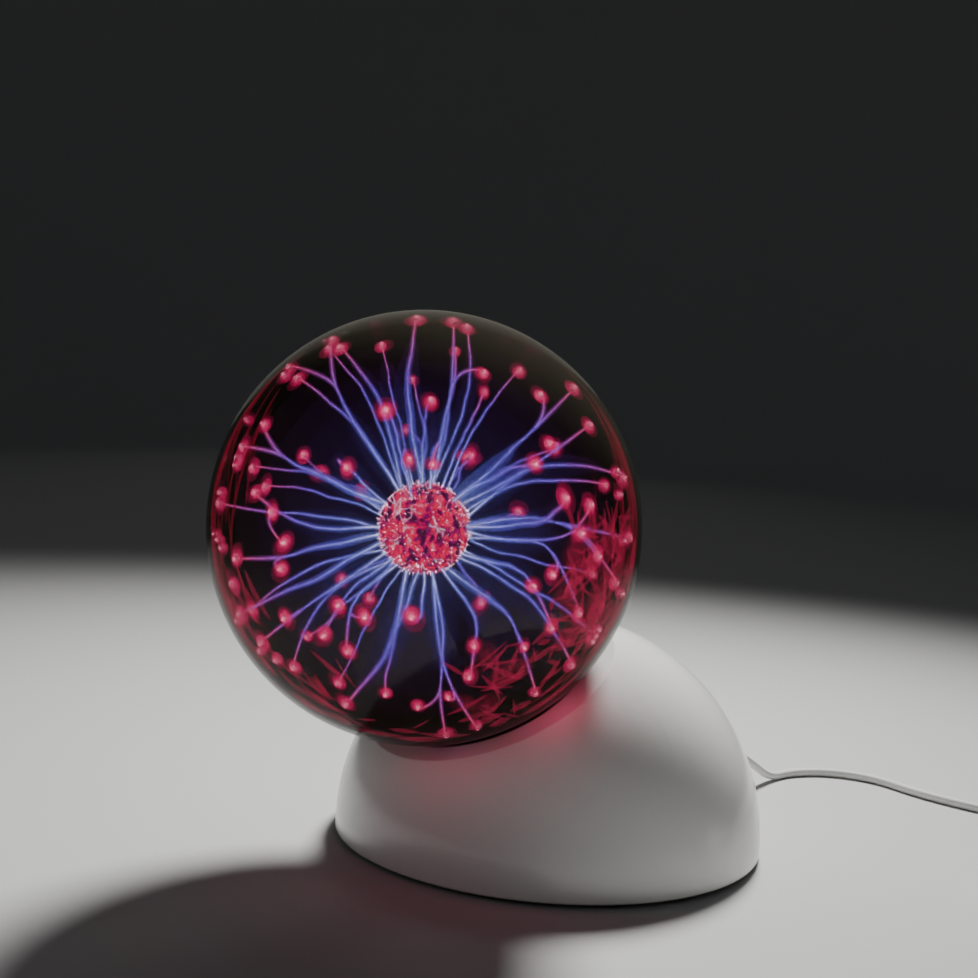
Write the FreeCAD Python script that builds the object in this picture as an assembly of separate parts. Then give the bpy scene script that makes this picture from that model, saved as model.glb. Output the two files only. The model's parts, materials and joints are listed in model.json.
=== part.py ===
"""A plasma ball: a glass globe that leans forward on a domed plastic base, with its driver and its power lead.

Millimetres, +Z up. The globe leans towards -Y, and the switch and the jack are at the back, towards +Y.
The origin is on the table, under the middle of the box round the globe and the base.
"""

import FreeCAD
import Part
import math
import os

V = FreeCAD.Vector
X, Y, Z = V(1, 0, 0), V(0, 1, 0), V(0, 0, 1)

# Driving dimensions of the globe
GLOBE_D = 150.0
GLOBE_R = GLOBE_D / 2
GLOBE_WALL = 1.3
GLOBE_FORWARD = 62.6  # the globe's centre ahead of the base's axis
GLOBE_RISE = 118.5  # the globe's centre above the table
LEAN = 28.0  # degrees, the neck's axis from the vertical
NECK_R = 16.0
NECK_WALL = 1.8
NECK_END = -94.0  # along the neck's axis from the globe's centre
BULB_R = 15.75
BULB_WALL = 1.2
STEM_R = 5.0
STEM_WALL = 1.1
SEAL = 2.0  # thickness of the glass disc that closes the neck

# Driving dimensions of the base
DOME_R = 79.2
DOME_TOP = 84.0
DOME_FOOT = 1.5  # the shell's lower edge above the table
DOME_EDGE = 4.0  # height where the dome's curve starts
SHELL = 2.5
FOOT_ROUND = 1.2  # rounding of the shell's lower edge
SEAT_ROUND = 0.8  # rounding of the seat's edges
SEAT = -66.0  # the flat seat, along the neck's axis from the globe's centre
DISH_R = 75.9  # the hollow under the globe
DISH_HOLE_R = 18.5
GASKET = 0.7

# The back panel with the jack and the switch
PANEL_Y = 73.3  # from the base's axis
PANEL_W = 60.0
PANEL_LOW = 8.0
PANEL_HIGH = 28.0
JACK_X = -14.0
SWITCH_X = 14.0
PORT_Z = 17.1  # height of the jack's and the switch's centres
SWITCH_TRAVEL = 4.0  # each way from the middle position
JACK_HOLE_R = 4.9
SWITCH_SLOT = (13.2, 4.4)  # width and height

# The driver board
BOARD_Z = 9.0
BOARD = 1.6
BOARD_TOP = BOARD_Z + BOARD
COVER_Z = 1.5
COVER = 2.5
BOARD_SCREWS = [(x, y) for x in (-31.0, 31.0) for y in (-15.0, 38.0)]
COVER_SCREWS = [(x, y) for x in (-57.0, 57.0) for y in (-33.0, 33.0)]
FEET = {"foot_front_left": (-48, -48), "foot_front_right": (48, -48), "foot_back_left": (-48, 48)}
FEET["foot_back_right"] = (48, 48)
FOOT_R = 7.0

# The power lead
LEAD_D = 3.5
LEAD_R = LEAD_D / 2
COIL_AT = (122.0, 190.0)
COIL_MID_R = 19.5
COIL_LIFT = 0.9
ADAPTER_AT = (151.0, 144.0)
ADAPTER = (26.0, 38.0, 24.0)
ADAPTER_PLATE = 4.0  # thickness of the cover that carries the blades
RELIEF_Z = 4.5  # height of the strain relief on the adapter
ADAPTER_RELIEF = 10.0
TAIL_END = ADAPTER_AT[1] + ADAPTER[1] / 2 + ADAPTER_RELIEF

BASE_Y = (GLOBE_FORWARD + GLOBE_R - DOME_R) / 2
GLOBE_Y = BASE_Y - GLOBE_FORWARD
EDGE = 300.0  # larger than the whole object


def save(name, shape):
    """Write one piece, or one group of like pieces, to its own file."""
    shape = shape.removeSplitter()
    if not shape.isValid():
        raise ValueError(name + " isn't a valid solid")
    print(f"{name:24s} {len(shape.Solids):3d} solids {shape.Volume / 1000:9.2f} cm3")
    shape.exportStep("parts/" + name + ".step")


def placed(shape, spot):
    """A copy of a shape, moved from the base's axis at table height to its place."""
    copy = shape.copy()
    copy.translate(V(spot[0], spot[1] + BASE_Y, spot[2]))
    return copy


def on_neck(shape):
    """A copy of a shape drawn about the globe's centre with the neck down, leaned and moved to its place."""
    copy = shape.copy()
    copy.rotate(V(0, 0, 0), X, LEAN)
    copy.translate(V(0, GLOBE_Y, GLOBE_RISE))
    return copy


def rod(radius, length, at, axis=Z):
    """A cylinder from a point along an axis."""
    return Part.makeCylinder(radius, length, V(*at), axis)


def tube(outer, inner, length, at, axis=Z):
    """A round tube from a point along an axis."""
    return rod(outer, length, at, axis).cut(rod(inner, length, at, axis))


def block(size, middle_low):
    """A box by its size and the middle of its underside."""
    x, y, z = middle_low
    return Part.makeBox(size[0], size[1], size[2], V(x - size[0] / 2, y - size[1] / 2, z))


def turned(edges):
    """A solid turned about Z from a closed outline in the XZ plane."""
    return Part.Face(Part.Wire(edges)).revolve(V(0, 0, 0), Z, 360)


def line(start, end):
    """A straight edge in the XZ plane."""
    return Part.makeLine(V(start[0], 0, start[1]), V(end[0], 0, end[1]))


def arc(start, middle, end):
    """A round edge through three points in the XZ plane."""
    points = [V(p[0], 0, p[1]) for p in (start, middle, end)]
    return Part.Arc(*points).toShape()


def ball_arc(radius, meet_r):
    """The edge of a ball from its top down to where a neck of a given radius meets it."""
    low = -math.sqrt(radius**2 - meet_r**2)
    return arc((0, radius), (radius, 0), (meet_r, low)), low


# ---------------------------------------------------------------- globe


def bottle(radius, wall, neck_r, neck_wall, end):
    """A hollow ball with a hollow neck."""
    outside, low = ball_arc(radius, neck_r)
    inside, inner_low = ball_arc(radius - wall, neck_r - neck_wall)
    inner_r = neck_r - neck_wall
    edges = [
        outside,
        line((neck_r, low), (neck_r, end)),
        line((neck_r, end), (inner_r, end)),
        line((inner_r, end), (inner_r, inner_low)),
        inside,
        line((0, radius - wall), (0, radius)),
    ]
    return turned(edges)


def globe_glass():
    """The glass globe with its open neck."""
    return on_neck(bottle(GLOBE_R, GLOBE_WALL, NECK_R, NECK_WALL, NECK_END))


def inner_bulb():
    """The inner bulb, its stem and the disc that closes the neck, in one piece of glass."""
    bulb = bottle(BULB_R, BULB_WALL, STEM_R, STEM_WALL, NECK_END)
    seal = tube(NECK_R - NECK_WALL, STEM_R - STEM_WALL, SEAL, (0, 0, NECK_END))
    return on_neck(bulb.fuse(seal))


def conductor():
    """The rod that carries the high voltage up the stem."""
    reach = NECK_END - 7.0
    return on_neck(rod(3.0, -6.0 - reach, (0, 0, reach)))


def wool():
    """The ball of steel wool that fills the bulb round the conductor."""
    ball = Part.makeSphere(BULB_R - BULB_WALL - 0.05)
    return on_neck(ball).cut(conductor())


def tip_off():
    """The nipple where the globe was filled and melted shut."""
    stub = rod(2.0, 5.0, (-9.5, 0, NECK_END - 5.0))
    return on_neck(stub.fuse(Part.makeSphere(2.0, V(-9.5, 0, NECK_END - 5.0))))


def high_voltage_cap():
    """The silicone cap over the conductor's end."""
    cap = rod(6.5, 13.0, (0, 0, NECK_END - 13.0))
    cap = cap.makeFillet(1.5, [cap.Edges[i] for i in range(3) if cap.Edges[i].Closed])
    return on_neck(cap).cut(conductor())


def neck_sleeve():
    """The rubber sleeve between the neck and its clamps."""
    return on_neck(tube(NECK_R + 1.5, NECK_R, 10.0, (0, 0, -89.0)))


CLAMP_TOP = -79.0
CLAMP_SCREW_X = 28.0


def neck_clamp(side):
    """Half of the ring that grips the neck, with an ear for its screw."""
    ring = tube(22.0, NECK_R + 1.5, 9.0, (0, 0, CLAMP_TOP - 9.0))
    ear = block((13.0, 12.0, 4.0), (26.5, 0, CLAMP_TOP - 4.0))
    ear = ear.cut(rod(NECK_R + 1.5, 9.0, (0, 0, CLAMP_TOP - 9.0)))
    ear = ear.cut(rod(1.7, 6.0, (CLAMP_SCREW_X, 0, CLAMP_TOP - 5.0)))
    half = block((EDGE, EDGE, 20.0), (EDGE / 2 + 0.3, 0, CLAMP_TOP - 15.0))
    piece = ring.common(half).fuse(ear)
    if side < 0:
        piece = piece.mirror(V(0, 0, 0), X)
    return on_neck(piece)


def pan_screw(length, shank_r, head_r):
    """A screw that drives upwards, with its head's underside at the origin."""
    head = rod(head_r, 1.6, (0, 0, -1.6)).cut(block((0.6, head_r * 1.4, 0.8), (0, 0, -1.6)))
    head = head.cut(block((head_r * 1.4, 0.6, 0.8), (0, 0, -1.6)))
    return head.fuse(rod(shank_r, length, (0, 0, 0)))


def clamp_screws():
    """The two screws that hold the neck clamps to the shell."""
    screws = []
    for x in (-CLAMP_SCREW_X, CLAMP_SCREW_X):
        screw = pan_screw(9.0, 1.4, 3.0)
        screw.translate(V(x, 0, CLAMP_TOP - 4.0))
        screws.append(on_neck(screw))
    return Part.makeCompound(screws)


def seat_gasket():
    """The thin foam ring between the globe and the dish."""
    skin = Part.makeSphere(GLOBE_R + GASKET).cut(Part.makeSphere(GLOBE_R))
    band = tube(34.0, 20.0, 30.0, (0, 0, -GLOBE_R - 5.0))
    return on_neck(skin.common(band))


# ---------------------------------------------------------------- base


def dome(offset):
    """The dome's solid, drawn in by an offset, standing open-ended on its lower edge."""
    radius, top = DOME_R - offset, DOME_TOP - offset
    low = DOME_FOOT if offset == 0 else -1.0
    curve = Part.Ellipse(V(0, 0, top), V(radius, 0, DOME_EDGE), V(0, 0, DOME_EDGE))
    if top - DOME_EDGE < radius:
        curve = Part.Ellipse(V(radius, 0, DOME_EDGE), V(0, 0, top), V(0, 0, DOME_EDGE))
    quarter = Part.Arc(curve, 0, math.pi / 2).toShape()
    edges = [
        quarter,
        line((radius, DOME_EDGE), (radius, low)),
        line((radius, low), (0, low)),
        line((0, low), (0, top)),
    ]
    return placed(turned(Part.__sortEdges__(edges)), (0, 0, 0))


def seat_cut(depth):
    """What the flat seat and the dish take off the dome, set deeper by a shell's thickness."""
    above = block((EDGE, EDGE, EDGE), (0, 0, SEAT - depth))
    return on_neck(above.fuse(Part.makeSphere(DISH_R + depth)))


def panel_box(y, low, high, width, depth):
    """A block behind or in front of the back panel, with round corners."""
    slab = block((width, depth, high - low), (0, y + depth / 2, low))
    upright = [e for e in slab.Edges if abs(e.tangentAt(e.FirstParameter).y) > 0.9]
    return placed(slab.makeFillet(4.0, upright), (0, 0, 0))


def dome_bosses():
    """Posts for the cover's screws, and posts under the dish for the neck clamp's."""
    posts = [placed(rod(4.0, 60.0, (x, y, COVER_Z + COVER)), (0, 0, 0)) for x, y in COVER_SCREWS]
    for x in (-CLAMP_SCREW_X, CLAMP_SCREW_X):
        posts.append(on_neck(rod(4.0, 12.0, (x, 0, CLAMP_TOP))))
    return posts


def dome_pilot_holes():
    """The blind holes that the screws cut their threads in."""
    holes = [placed(rod(1.4, 12.0, (x, y, COVER_Z + COVER)), (0, 0, 0)) for x, y in COVER_SCREWS]
    for x in (-CLAMP_SCREW_X, CLAMP_SCREW_X):
        holes.append(on_neck(rod(1.4, 5.5, (x, 0, CLAMP_TOP))))
    return holes


def base_dome():
    """The white shell, with its flat seat, its dish, its back panel and its posts."""
    outside = dome(0)
    rim = [e for e in outside.Edges if e.Closed and abs(e.CenterOfMass.z - DOME_FOOT) < 0.01]
    outside = outside.makeFillet(FOOT_ROUND, rim).cut(seat_cut(0))
    inside = dome(SHELL).cut(seat_cut(SHELL))
    shell = outside.cut(inside)
    shell = shell.cut(panel_box(PANEL_Y, PANEL_LOW, PANEL_HIGH, PANEL_W, 20.0))
    plate = panel_box(PANEL_Y - SHELL, PANEL_LOW - SHELL, PANEL_HIGH + SHELL, PANEL_W + 2 * SHELL, 20.0)
    frame = plate.cut(panel_box(PANEL_Y, PANEL_LOW, PANEL_HIGH, PANEL_W, 30.0)).common(outside)
    shell = shell.fuse(frame)
    for post in dome_bosses():
        shell = shell.fuse(post.common(outside))
    hole = on_neck(rod(DISH_HOLE_R, 40.0, (0, 0, -100.0)))
    jack = placed(rod(JACK_HOLE_R, 20.0, (JACK_X, PANEL_Y - 10.0, PORT_Z), Y), (0, 0, 0))
    slot_w, slot_h = SWITCH_SLOT
    slot = placed(block((slot_w, 20.0, slot_h), (SWITCH_X, PANEL_Y, PORT_Z - slot_h / 2)), (0, 0, 0))
    for gap in [hole, jack, slot] + dome_pilot_holes():
        shell = shell.cut(gap)
    lip = seat_rim(shell)
    return shell.makeFillet(SEAT_ROUND, lip) if lip else shell


def seat_rim(shell):
    """The edge where the flat seat meets the dome's outside."""
    face = on_neck(tube(60.0, DISH_R * 0.55, 0.4, (0, 0, SEAT - 0.2)))
    found = []
    for edge in shell.Edges:
        middle = edge.valueAt((edge.FirstParameter + edge.LastParameter) / 2)
        if face.isInside(middle, 0.01, True) and edge.Length > 100:
            found.append(edge)
    return found


def bottom_cover():
    """The floor of the base, with air slots, foot pockets, screw holes and posts for the board."""
    cover = rod(DOME_R - SHELL - 0.2, COVER, (0, 0, COVER_Z))
    for x, y in BOARD_SCREWS:
        cover = cover.fuse(rod(3.5, BOARD_Z - COVER_Z - COVER, (x, y, COVER_Z + COVER)))
        cover = cover.cut(rod(1.2, BOARD_Z - COVER_Z - 0.8, (x, y, COVER_Z + 0.8)))
    for x, y in COVER_SCREWS:
        cover = cover.cut(rod(1.8, 10.0, (x, y, 0)))
        cover = cover.cut(rod(3.4, COVER_Z + 1.2, (x, y, 0)))
    for x, y in FEET.values():
        cover = cover.cut(rod(FOOT_R + 0.05, 1.0, (x, y, COVER_Z)))
    for row in range(-3, 4):
        for side in (-1, 1):
            cover = cover.cut(block((22.0, 2.2, 10.0), (side * 16.0, row * 7.0, 0)))
    return placed(cover, (0, 0, 0))


def foot(spot):
    """A rubber foot with a rounded lower edge, stuck in its pocket."""
    pad = rod(FOOT_R, COVER_Z + 1.0, (0, 0, 0))
    low = [e for e in pad.Edges if e.Closed and e.CenterOfMass.z < 0.01]
    return placed(pad.makeFillet(0.6, low), (spot[0], spot[1], 0))


def cover_screws():
    """The four screws that hold the bottom cover."""
    at = COVER_Z + 1.2
    return Part.makeCompound([placed(pan_screw(10.5, 1.4, 3.0), (x, y, at)) for x, y in COVER_SCREWS])


# ---------------------------------------------------------------- driver


def driver_board():
    """The board, narrower at the back where it meets the dome's wall."""
    half, rear, corner = 36.0, 60.0, 45.0
    outline = [(-half, -20), (half, -20), (half, corner), (28, rear), (-28, rear), (-half, corner)]
    points = [V(x, y, BOARD_Z) for x, y in outline]
    board = Part.Face(Part.makePolygon(points + points[:1])).extrude(V(0, 0, BOARD))
    for x, y in BOARD_SCREWS:
        board = board.cut(rod(1.6, 5.0, (x, y, BOARD_Z - 1)))
    return placed(board, (0, 0, 0))


def board_screws():
    """Screws that drive down through the board into the cover's posts."""
    screws = []
    for x, y in BOARD_SCREWS:
        screw = pan_screw(6.0, 1.2, 2.8)
        screw.rotate(V(0, 0, 0), X, 180)
        screws.append(placed(screw, (x, y, BOARD_TOP)))
    return Part.makeCompound(screws)


CORE_X, CORE_Y = 19.0, 12.0  # the wound leg of the transformer's core
CORE_LEG_R = 3.6
CORE_SPAN = 18.0
CORE_LOW, CORE_HIGH = BOARD_TOP, 47.0
CORE_MID = (CORE_LOW + CORE_HIGH) / 2
YOKE = 6.0


def core_half(upper):
    """Half of the ferrite loop: a yoke and two round legs."""
    low, high = (CORE_MID, CORE_HIGH) if upper else (CORE_LOW, CORE_MID)
    yoke_low = high - YOKE if upper else low
    yoke = block((9.0, CORE_SPAN + 9.0, YOKE), (CORE_X, CORE_Y + CORE_SPAN / 2, yoke_low))
    half = yoke
    for y in (CORE_Y, CORE_Y + CORE_SPAN):
        half = half.fuse(rod(CORE_LEG_R, high - low, (CORE_X, y, low)))
    return placed(half, (0, 0, 0))


BOBBIN_LOW = CORE_LOW + YOKE + 0.1
BOBBIN_HIGH = CORE_HIGH - YOKE - 0.1
PRIMARY_TOP = BOBBIN_LOW + 7.0


def bobbin():
    """The tube that the windings sit on, with three flanges."""
    body = tube(5.2, CORE_LEG_R + 0.15, BOBBIN_HIGH - BOBBIN_LOW, (CORE_X, CORE_Y, BOBBIN_LOW))
    for z in (BOBBIN_LOW, PRIMARY_TOP, BOBBIN_HIGH - 1.0):
        body = body.fuse(tube(11.8, 5.2, 1.0, (CORE_X, CORE_Y, z)))
    return placed(body, (0, 0, 0))


def winding(low, high, radius):
    """A winding between two of the bobbin's flanges."""
    return placed(tube(radius, 5.2, high - low, (CORE_X, CORE_Y, low)), (0, 0, 0))


SINK_AT = (-22.0, 8.0)


def heat_sink():
    """A finned aluminium sink that stands on the board."""
    x, y = SINK_AT
    sink = block((24.0, 2.0, 26.0), (x, y, BOARD_TOP))
    for step in range(5):
        sink = sink.fuse(block((1.4, 9.0, 26.0), (x - 11.3 + step * 5.65, y - 5.5, BOARD_TOP)))
    return placed(sink.cut(rod(1.5, 10.0, (x, y - 5, BOARD_TOP + 17.0), Y)), (0, 0, 0))


def power_transistor():
    """A flat three-legged transistor against the sink."""
    x, y = SINK_AT
    back = y + 1.0
    body = block((10.0, 4.4, 9.0), (x, back + 2.2, BOARD_TOP + 4.0))
    tab = block((10.0, 1.3, 7.0), (x, back + 0.65, BOARD_TOP + 13.0))
    tab = tab.cut(rod(1.8, 5.0, (x, back - 1, BOARD_TOP + 17.0), Y))
    part = body.fuse(tab)
    for step in (-2.54, 0, 2.54):
        part = part.fuse(block((0.9, 0.6, 4.0), (x + step, back + 2.4, BOARD_TOP)))
    return placed(part, (0, 0, 0))


def sink_screw():
    """The screw that holds the transistor's tab to the sink."""
    x, y = SINK_AT
    screw = pan_screw(6.0, 1.45, 2.8)
    screw.rotate(V(0, 0, 0), X, 90)
    return placed(screw, (x, y + 2.3, BOARD_TOP + 17.0))


def can(radius, height, spot):
    """An electrolytic capacitor's can, with its rolled neck."""
    body = rod(radius, height, (spot[0], spot[1], BOARD_TOP))
    groove = tube(radius + 1, radius - 0.4, 0.8, (spot[0], spot[1], BOARD_TOP + 2.0))
    return placed(body.cut(groove), (0, 0, 0))


def film_capacitors():
    """Box capacitors that tune the drive."""
    spots = [((12.0, 5.0, 9.0), (-4.0, 25.0)), ((9.0, 4.0, 7.0), (-4.0, 33.0))]
    boxes = [placed(block(size, (x, y, BOARD_TOP)), (0, 0, 0)) for size, (x, y) in spots]
    return Part.makeCompound(boxes)


def resistors():
    """A row of small resistors that lie on the board, with bent leads."""
    made = []
    for step in range(5):
        x = -9.0 + step * 4.5
        body = rod(1.1, 6.0, (x, -14.0, BOARD_TOP + 1.3), Y)
        body = body.fuse(block((0.6, 9.6, 0.6), (x, -11.0, BOARD_TOP + 1.0)))
        for y in (-15.5, -6.5):
            body = body.fuse(block((0.6, 0.6, 1.6), (x, y, BOARD_TOP)))
        made.append(placed(body, (0, 0, 0)))
    return Part.makeCompound(made)


def driver_chip():
    """An eight-legged chip."""
    x, y = -8.0, 43.0
    chip = block((9.4, 6.3, 3.4), (x, y, BOARD_TOP + 0.6))
    for step in range(4):
        for side in (-1, 1):
            leg = block((0.6, 0.8, 2.2), (x - 3.81 + step * 2.54, y + side * 3.5, BOARD_TOP))
            chip = chip.fuse(leg)
    return placed(chip, (0, 0, 0))


CHOKE_AT = (14.0, 46.0)


def choke_core():
    """A small ferrite ring that lies on the board."""
    ring = tube(7.0, 3.6, 5.0, (CHOKE_AT[0], CHOKE_AT[1], BOARD_TOP + 1.0))
    return placed(ring, (0, 0, 0))


def choke_winding():
    """Turns of enamelled wire round the choke's ring."""
    turns = []
    low, high = BOARD_TOP + 1.0, BOARD_TOP + 6.0
    for step in range(12):
        turn = block((3.4 + 1.6, 0.8, high - low + 1.6), (5.3, 0, low - 0.8))
        turn = turn.cut(block((3.4, 0.8, high - low), (5.3, 0, low)))
        turn.rotate(V(0, 0, 0), Z, 30.0 * step)
        turns.append(placed(turn, (CHOKE_AT[0], CHOKE_AT[1], 0)).cut(choke_core()))
    return Part.makeCompound(turns)


def microphone():
    """The small can that hears sound, standing by the back panel."""
    return placed(tube(4.8, 1.0, 0.4, (0, 0, 5.1)).fuse(rod(4.8, 5.0, (0, 0, 0.1))), (0, 53.0, BOARD_TOP))


# ---------------------------------------------------------------- jack and switch

JACK_BACK = 56.0
JACK_FACE = PANEL_Y - 0.3
BARREL_R = 2.75
BARREL_BORE_R = 1.35


def dc_jack():
    """The socket: a body on the board and a round nose in the panel's hole."""
    body = block((9.0, 14.4, 10.8), (JACK_X, JACK_BACK + 7.2, BOARD_TOP))
    nose = rod(4.6, JACK_FACE - JACK_BACK - 10.0, (JACK_X, JACK_BACK + 10.0, PORT_Z), Y)
    bore = rod(BARREL_R + 0.35, 20.0, (JACK_X, JACK_BACK + 4.0, PORT_Z), Y)
    return placed(body.fuse(nose).cut(bore), (0, 0, 0))


def jack_pin():
    """The centre pin in the jack's bore."""
    pin = rod(1.0, 11.0, (JACK_X, JACK_BACK + 4.0, PORT_Z), Y)
    tip = [e for e in pin.Edges if e.Closed and e.CenterOfMass.y > JACK_BACK + 14.9]
    return placed(pin.makeFillet(0.6, tip), (0, 0, 0))


def switch_frame():
    """The switch's metal can, open in a slot towards the back."""
    deep = PANEL_Y - SHELL - 61.1
    middle = 61.0 + deep / 2
    can_body = block((22.0, deep, 8.4), (SWITCH_X, middle, PORT_Z - 4.2))
    inner = block((20.6, deep - 1.4, 7.0), (SWITCH_X, middle, PORT_Z - 3.5))
    slot_w, slot_h = SWITCH_SLOT
    slot = block((slot_w, deep, slot_h), (SWITCH_X, middle + deep / 2, PORT_Z - slot_h / 2))
    return placed(can_body.cut(inner).cut(slot), (0, 0, 0))


def switch_slider():
    """The moving knob: a block in the can, a stem through the slot and a ribbed tip."""
    block_y = (62.1, 69.4)
    inner = block((12.0, block_y[1] - block_y[0], 6.2), (SWITCH_X, sum(block_y) / 2, PORT_Z - 3.1))
    tip_end = PANEL_Y + 4.2
    stem = block((4.4, tip_end - block_y[1], 3.6), (SWITCH_X, (tip_end + block_y[1]) / 2, PORT_Z - 1.8))
    ends = [e for e in stem.Edges if e.BoundBox.YMin > tip_end - 0.1]
    stem = stem.makeFillet(0.5, ends)
    for step in (-1.1, 0, 1.1):
        stem = stem.cut(block((0.4, 0.5, 4.0), (SWITCH_X + step, tip_end, PORT_Z - 2.0)))
    return placed(inner.fuse(stem), (0, 0, 0))


def switch_terminals():
    """The switch's legs, which stand on the board's edge."""
    legs = []
    for step in range(4):
        x = SWITCH_X - 6.0 + step * 4.0
        foot_high = PORT_Z - 4.2
        legs.append(placed(block((1.2, 0.5, foot_high - 9.4), (x, 64.0, 9.4)), (0, 0, 0)))
    return Part.makeCompound(legs)


# ---------------------------------------------------------------- wires and cords


def radii_of(points):
    """The radius of the round at each inner point of a route."""
    found = []
    for before, at, after in zip(points, points[1:], points[2:]):
        turn = (at - before).getAngle(after - at)
        shorter = min((at - before).Length, (after - at).Length)
        found.append(0.45 * shorter / math.tan(turn / 2))
    return found


def route_wire(points):
    """Straight runs joined by arcs that touch them."""
    edges = []
    start = points[0]
    for before, at, after, radius in zip(points, points[1:], points[2:], radii_of(points)):
        come = (at - before).normalize()
        leave = (after - at).normalize()
        turn = come.getAngle(leave)
        back = radius * math.tan(turn / 2)
        first, last = at - come * back, at + leave * back
        inward = (leave - come).normalize()
        middle = at + inward * (radius / math.cos(turn / 2) - radius)
        edges.append(Part.LineSegment(start, first).toShape())
        edges.append(Part.Arc(first, middle, last).toShape())
        start = last
    edges.append(Part.LineSegment(start, points[-1]).toShape())
    return Part.Wire(edges)


def cord(name, corners, diameter):
    """A round cord along a route, with its radii and its volume printed."""
    points = [V(*p) for p in corners]
    wire = route_wire(points)
    section = Part.Wire(Part.makeCircle(diameter / 2, points[0], points[1] - points[0]))
    solid = wire.makePipeShell([section], True, False, 2)
    radii = " ".join(f"{r:.1f}" for r in radii_of(points))
    expected = math.pi * diameter**2 / 4 * wire.Length
    print(f"{name}: length {wire.Length:.1f} mm, radii {radii}")
    print(f"{name}: volume {solid.Volume:.0f} mm3, section times length {expected:.0f} mm3")
    return solid


HV_WIRE_D = 1.8
HV_ROUTE = [(6.6, -15.7, 30.2), (13.0, -14.6, 31.2), (17.6, -10.2, 32.2), (19.0, 0.4, 33.4)]


def hv_lead():
    """The insulated wire from the high-voltage winding to the cap."""
    return cord("hv_lead", [(x, y + BASE_Y, z) for x, y, z in HV_ROUTE], HV_WIRE_D)


PLUG_FACE = PANEL_Y + 1.2
PLUG_LONG = 14.0
RELIEF_LONG = 12.0
LEAD_START = BASE_Y + PLUG_FACE + PLUG_LONG + RELIEF_LONG
LEAD_ROUTE = [
    (JACK_X, LEAD_START, PORT_Z),
    (JACK_X, 141.5, PORT_Z),
    (-15.2, 154.5, 9.4),
    (-18.0, 167.5, LEAD_R),
    (-20.0, 183.0, LEAD_R),
    (-13.0, 200.0, LEAD_R),
    (4.0, 211.0, LEAD_R),
    (26.0, 210.0, LEAD_R),
    (48.0, 214.0, LEAD_R),
    (70.0, 222.0, LEAD_R),
    (90.0, 223.0, LEAD_R),
    (106.0, 217.0, COIL_LIFT + LEAD_R),
    (120.0, 212.9, COIL_LIFT + LEAD_R),
]
TAIL_ROUTE = [
    (138.3, 206.3, COIL_LIFT + 5 * LEAD_R),
    (146.5, 200.5, 6.0),
    (ADAPTER_AT[0], 187.5, RELIEF_Z),
    (ADAPTER_AT[0], TAIL_END, RELIEF_Z),
]


def plug_body():
    """The moulded grip of the plug."""
    grip = rod(4.5, PLUG_LONG, (JACK_X, PLUG_FACE, PORT_Z), Y)
    ends = [e for e in grip.Edges if e.Closed]
    grip = grip.makeFillet(1.0, ends)
    for step in range(3):
        ring = tube(6.0, 4.1, 1.0, (JACK_X, PLUG_FACE + 4.0 + step * 2.5, PORT_Z), Y)
        grip = grip.cut(ring)
    return placed(grip, (0, 0, 0)).cut(plug_barrel())


def plug_barrel():
    """The metal barrel that goes over the jack's pin."""
    barrel = rod(BARREL_R, PLUG_FACE + 3.0 - JACK_BACK - 6.0, (JACK_X, JACK_BACK + 6.0, PORT_Z), Y)
    bore = rod(BARREL_BORE_R, PLUG_FACE - JACK_BACK - 6.0, (JACK_X, JACK_BACK + 6.0, PORT_Z), Y)
    return placed(barrel.cut(bore), (0, 0, 0))


def strain_relief(long, start_r, end_r, at, axis):
    """A tapered sleeve with grooves that let it bend."""
    sleeve = Part.makeCone(start_r, end_r, long, V(*at), axis)
    for step in range(3):
        spot = V(*at) + axis * (2.5 + step * 3.0)
        sleeve = sleeve.cut(tube(start_r + 1, end_r * 0.95, 1.1, spot, axis))
    return sleeve


def plug_relief():
    """The tapered sleeve behind the plug."""
    at = (JACK_X, BASE_Y + PLUG_FACE + PLUG_LONG, PORT_Z)
    return strain_relief(RELIEF_LONG, 3.3, 2.3, at, Y)


def lead_coil():
    """The outer shape of the put-away coil."""
    x, y = COIL_AT
    half = 1.5 * LEAD_D
    ring = tube(COIL_MID_R + half, COIL_MID_R - half, 3 * LEAD_D, (x, y, COIL_LIFT))
    return ring.makeFillet(1.5, [e for e in ring.Edges if e.Closed])


def coil_tie():
    """The strap round the coil's turns."""
    x, y = COIL_AT
    half = 1.5 * LEAD_D
    wall = 0.8
    strap = block((2 * half + 3 * wall, 9.0, 3 * LEAD_D + 2 * wall), (x - COIL_MID_R, y, COIL_LIFT - wall))
    return strap.cut(lead_coil())


def adapter_block(low, high, front):
    """A rounded block between two distances from the adapter's blade end."""
    x, y = ADAPTER_AT
    start = y - ADAPTER[1] / 2
    part = block((ADAPTER[0], high - low, ADAPTER[2]), (x, start + (low + high) / 2, 0))
    end = start + (low if front else high)
    along = [e for e in part.Edges if abs(e.tangentAt(e.FirstParameter).y) > 0.9]
    part = part.makeFillet(3.0, along)
    rim = [e for e in part.Edges if abs(e.BoundBox.YMin - end) < 0.01 and e.BoundBox.YLength < 0.01]
    return part.makeFillet(1.0, rim)


def adapter_shell():
    """The adapter's main shell, lying on the table."""
    return adapter_block(ADAPTER_PLATE, ADAPTER[1], False)


def adapter_cover():
    """The adapter's end cover, that the blades come through."""
    return adapter_block(0, ADAPTER_PLATE, True).cut(adapter_blades())


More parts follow.
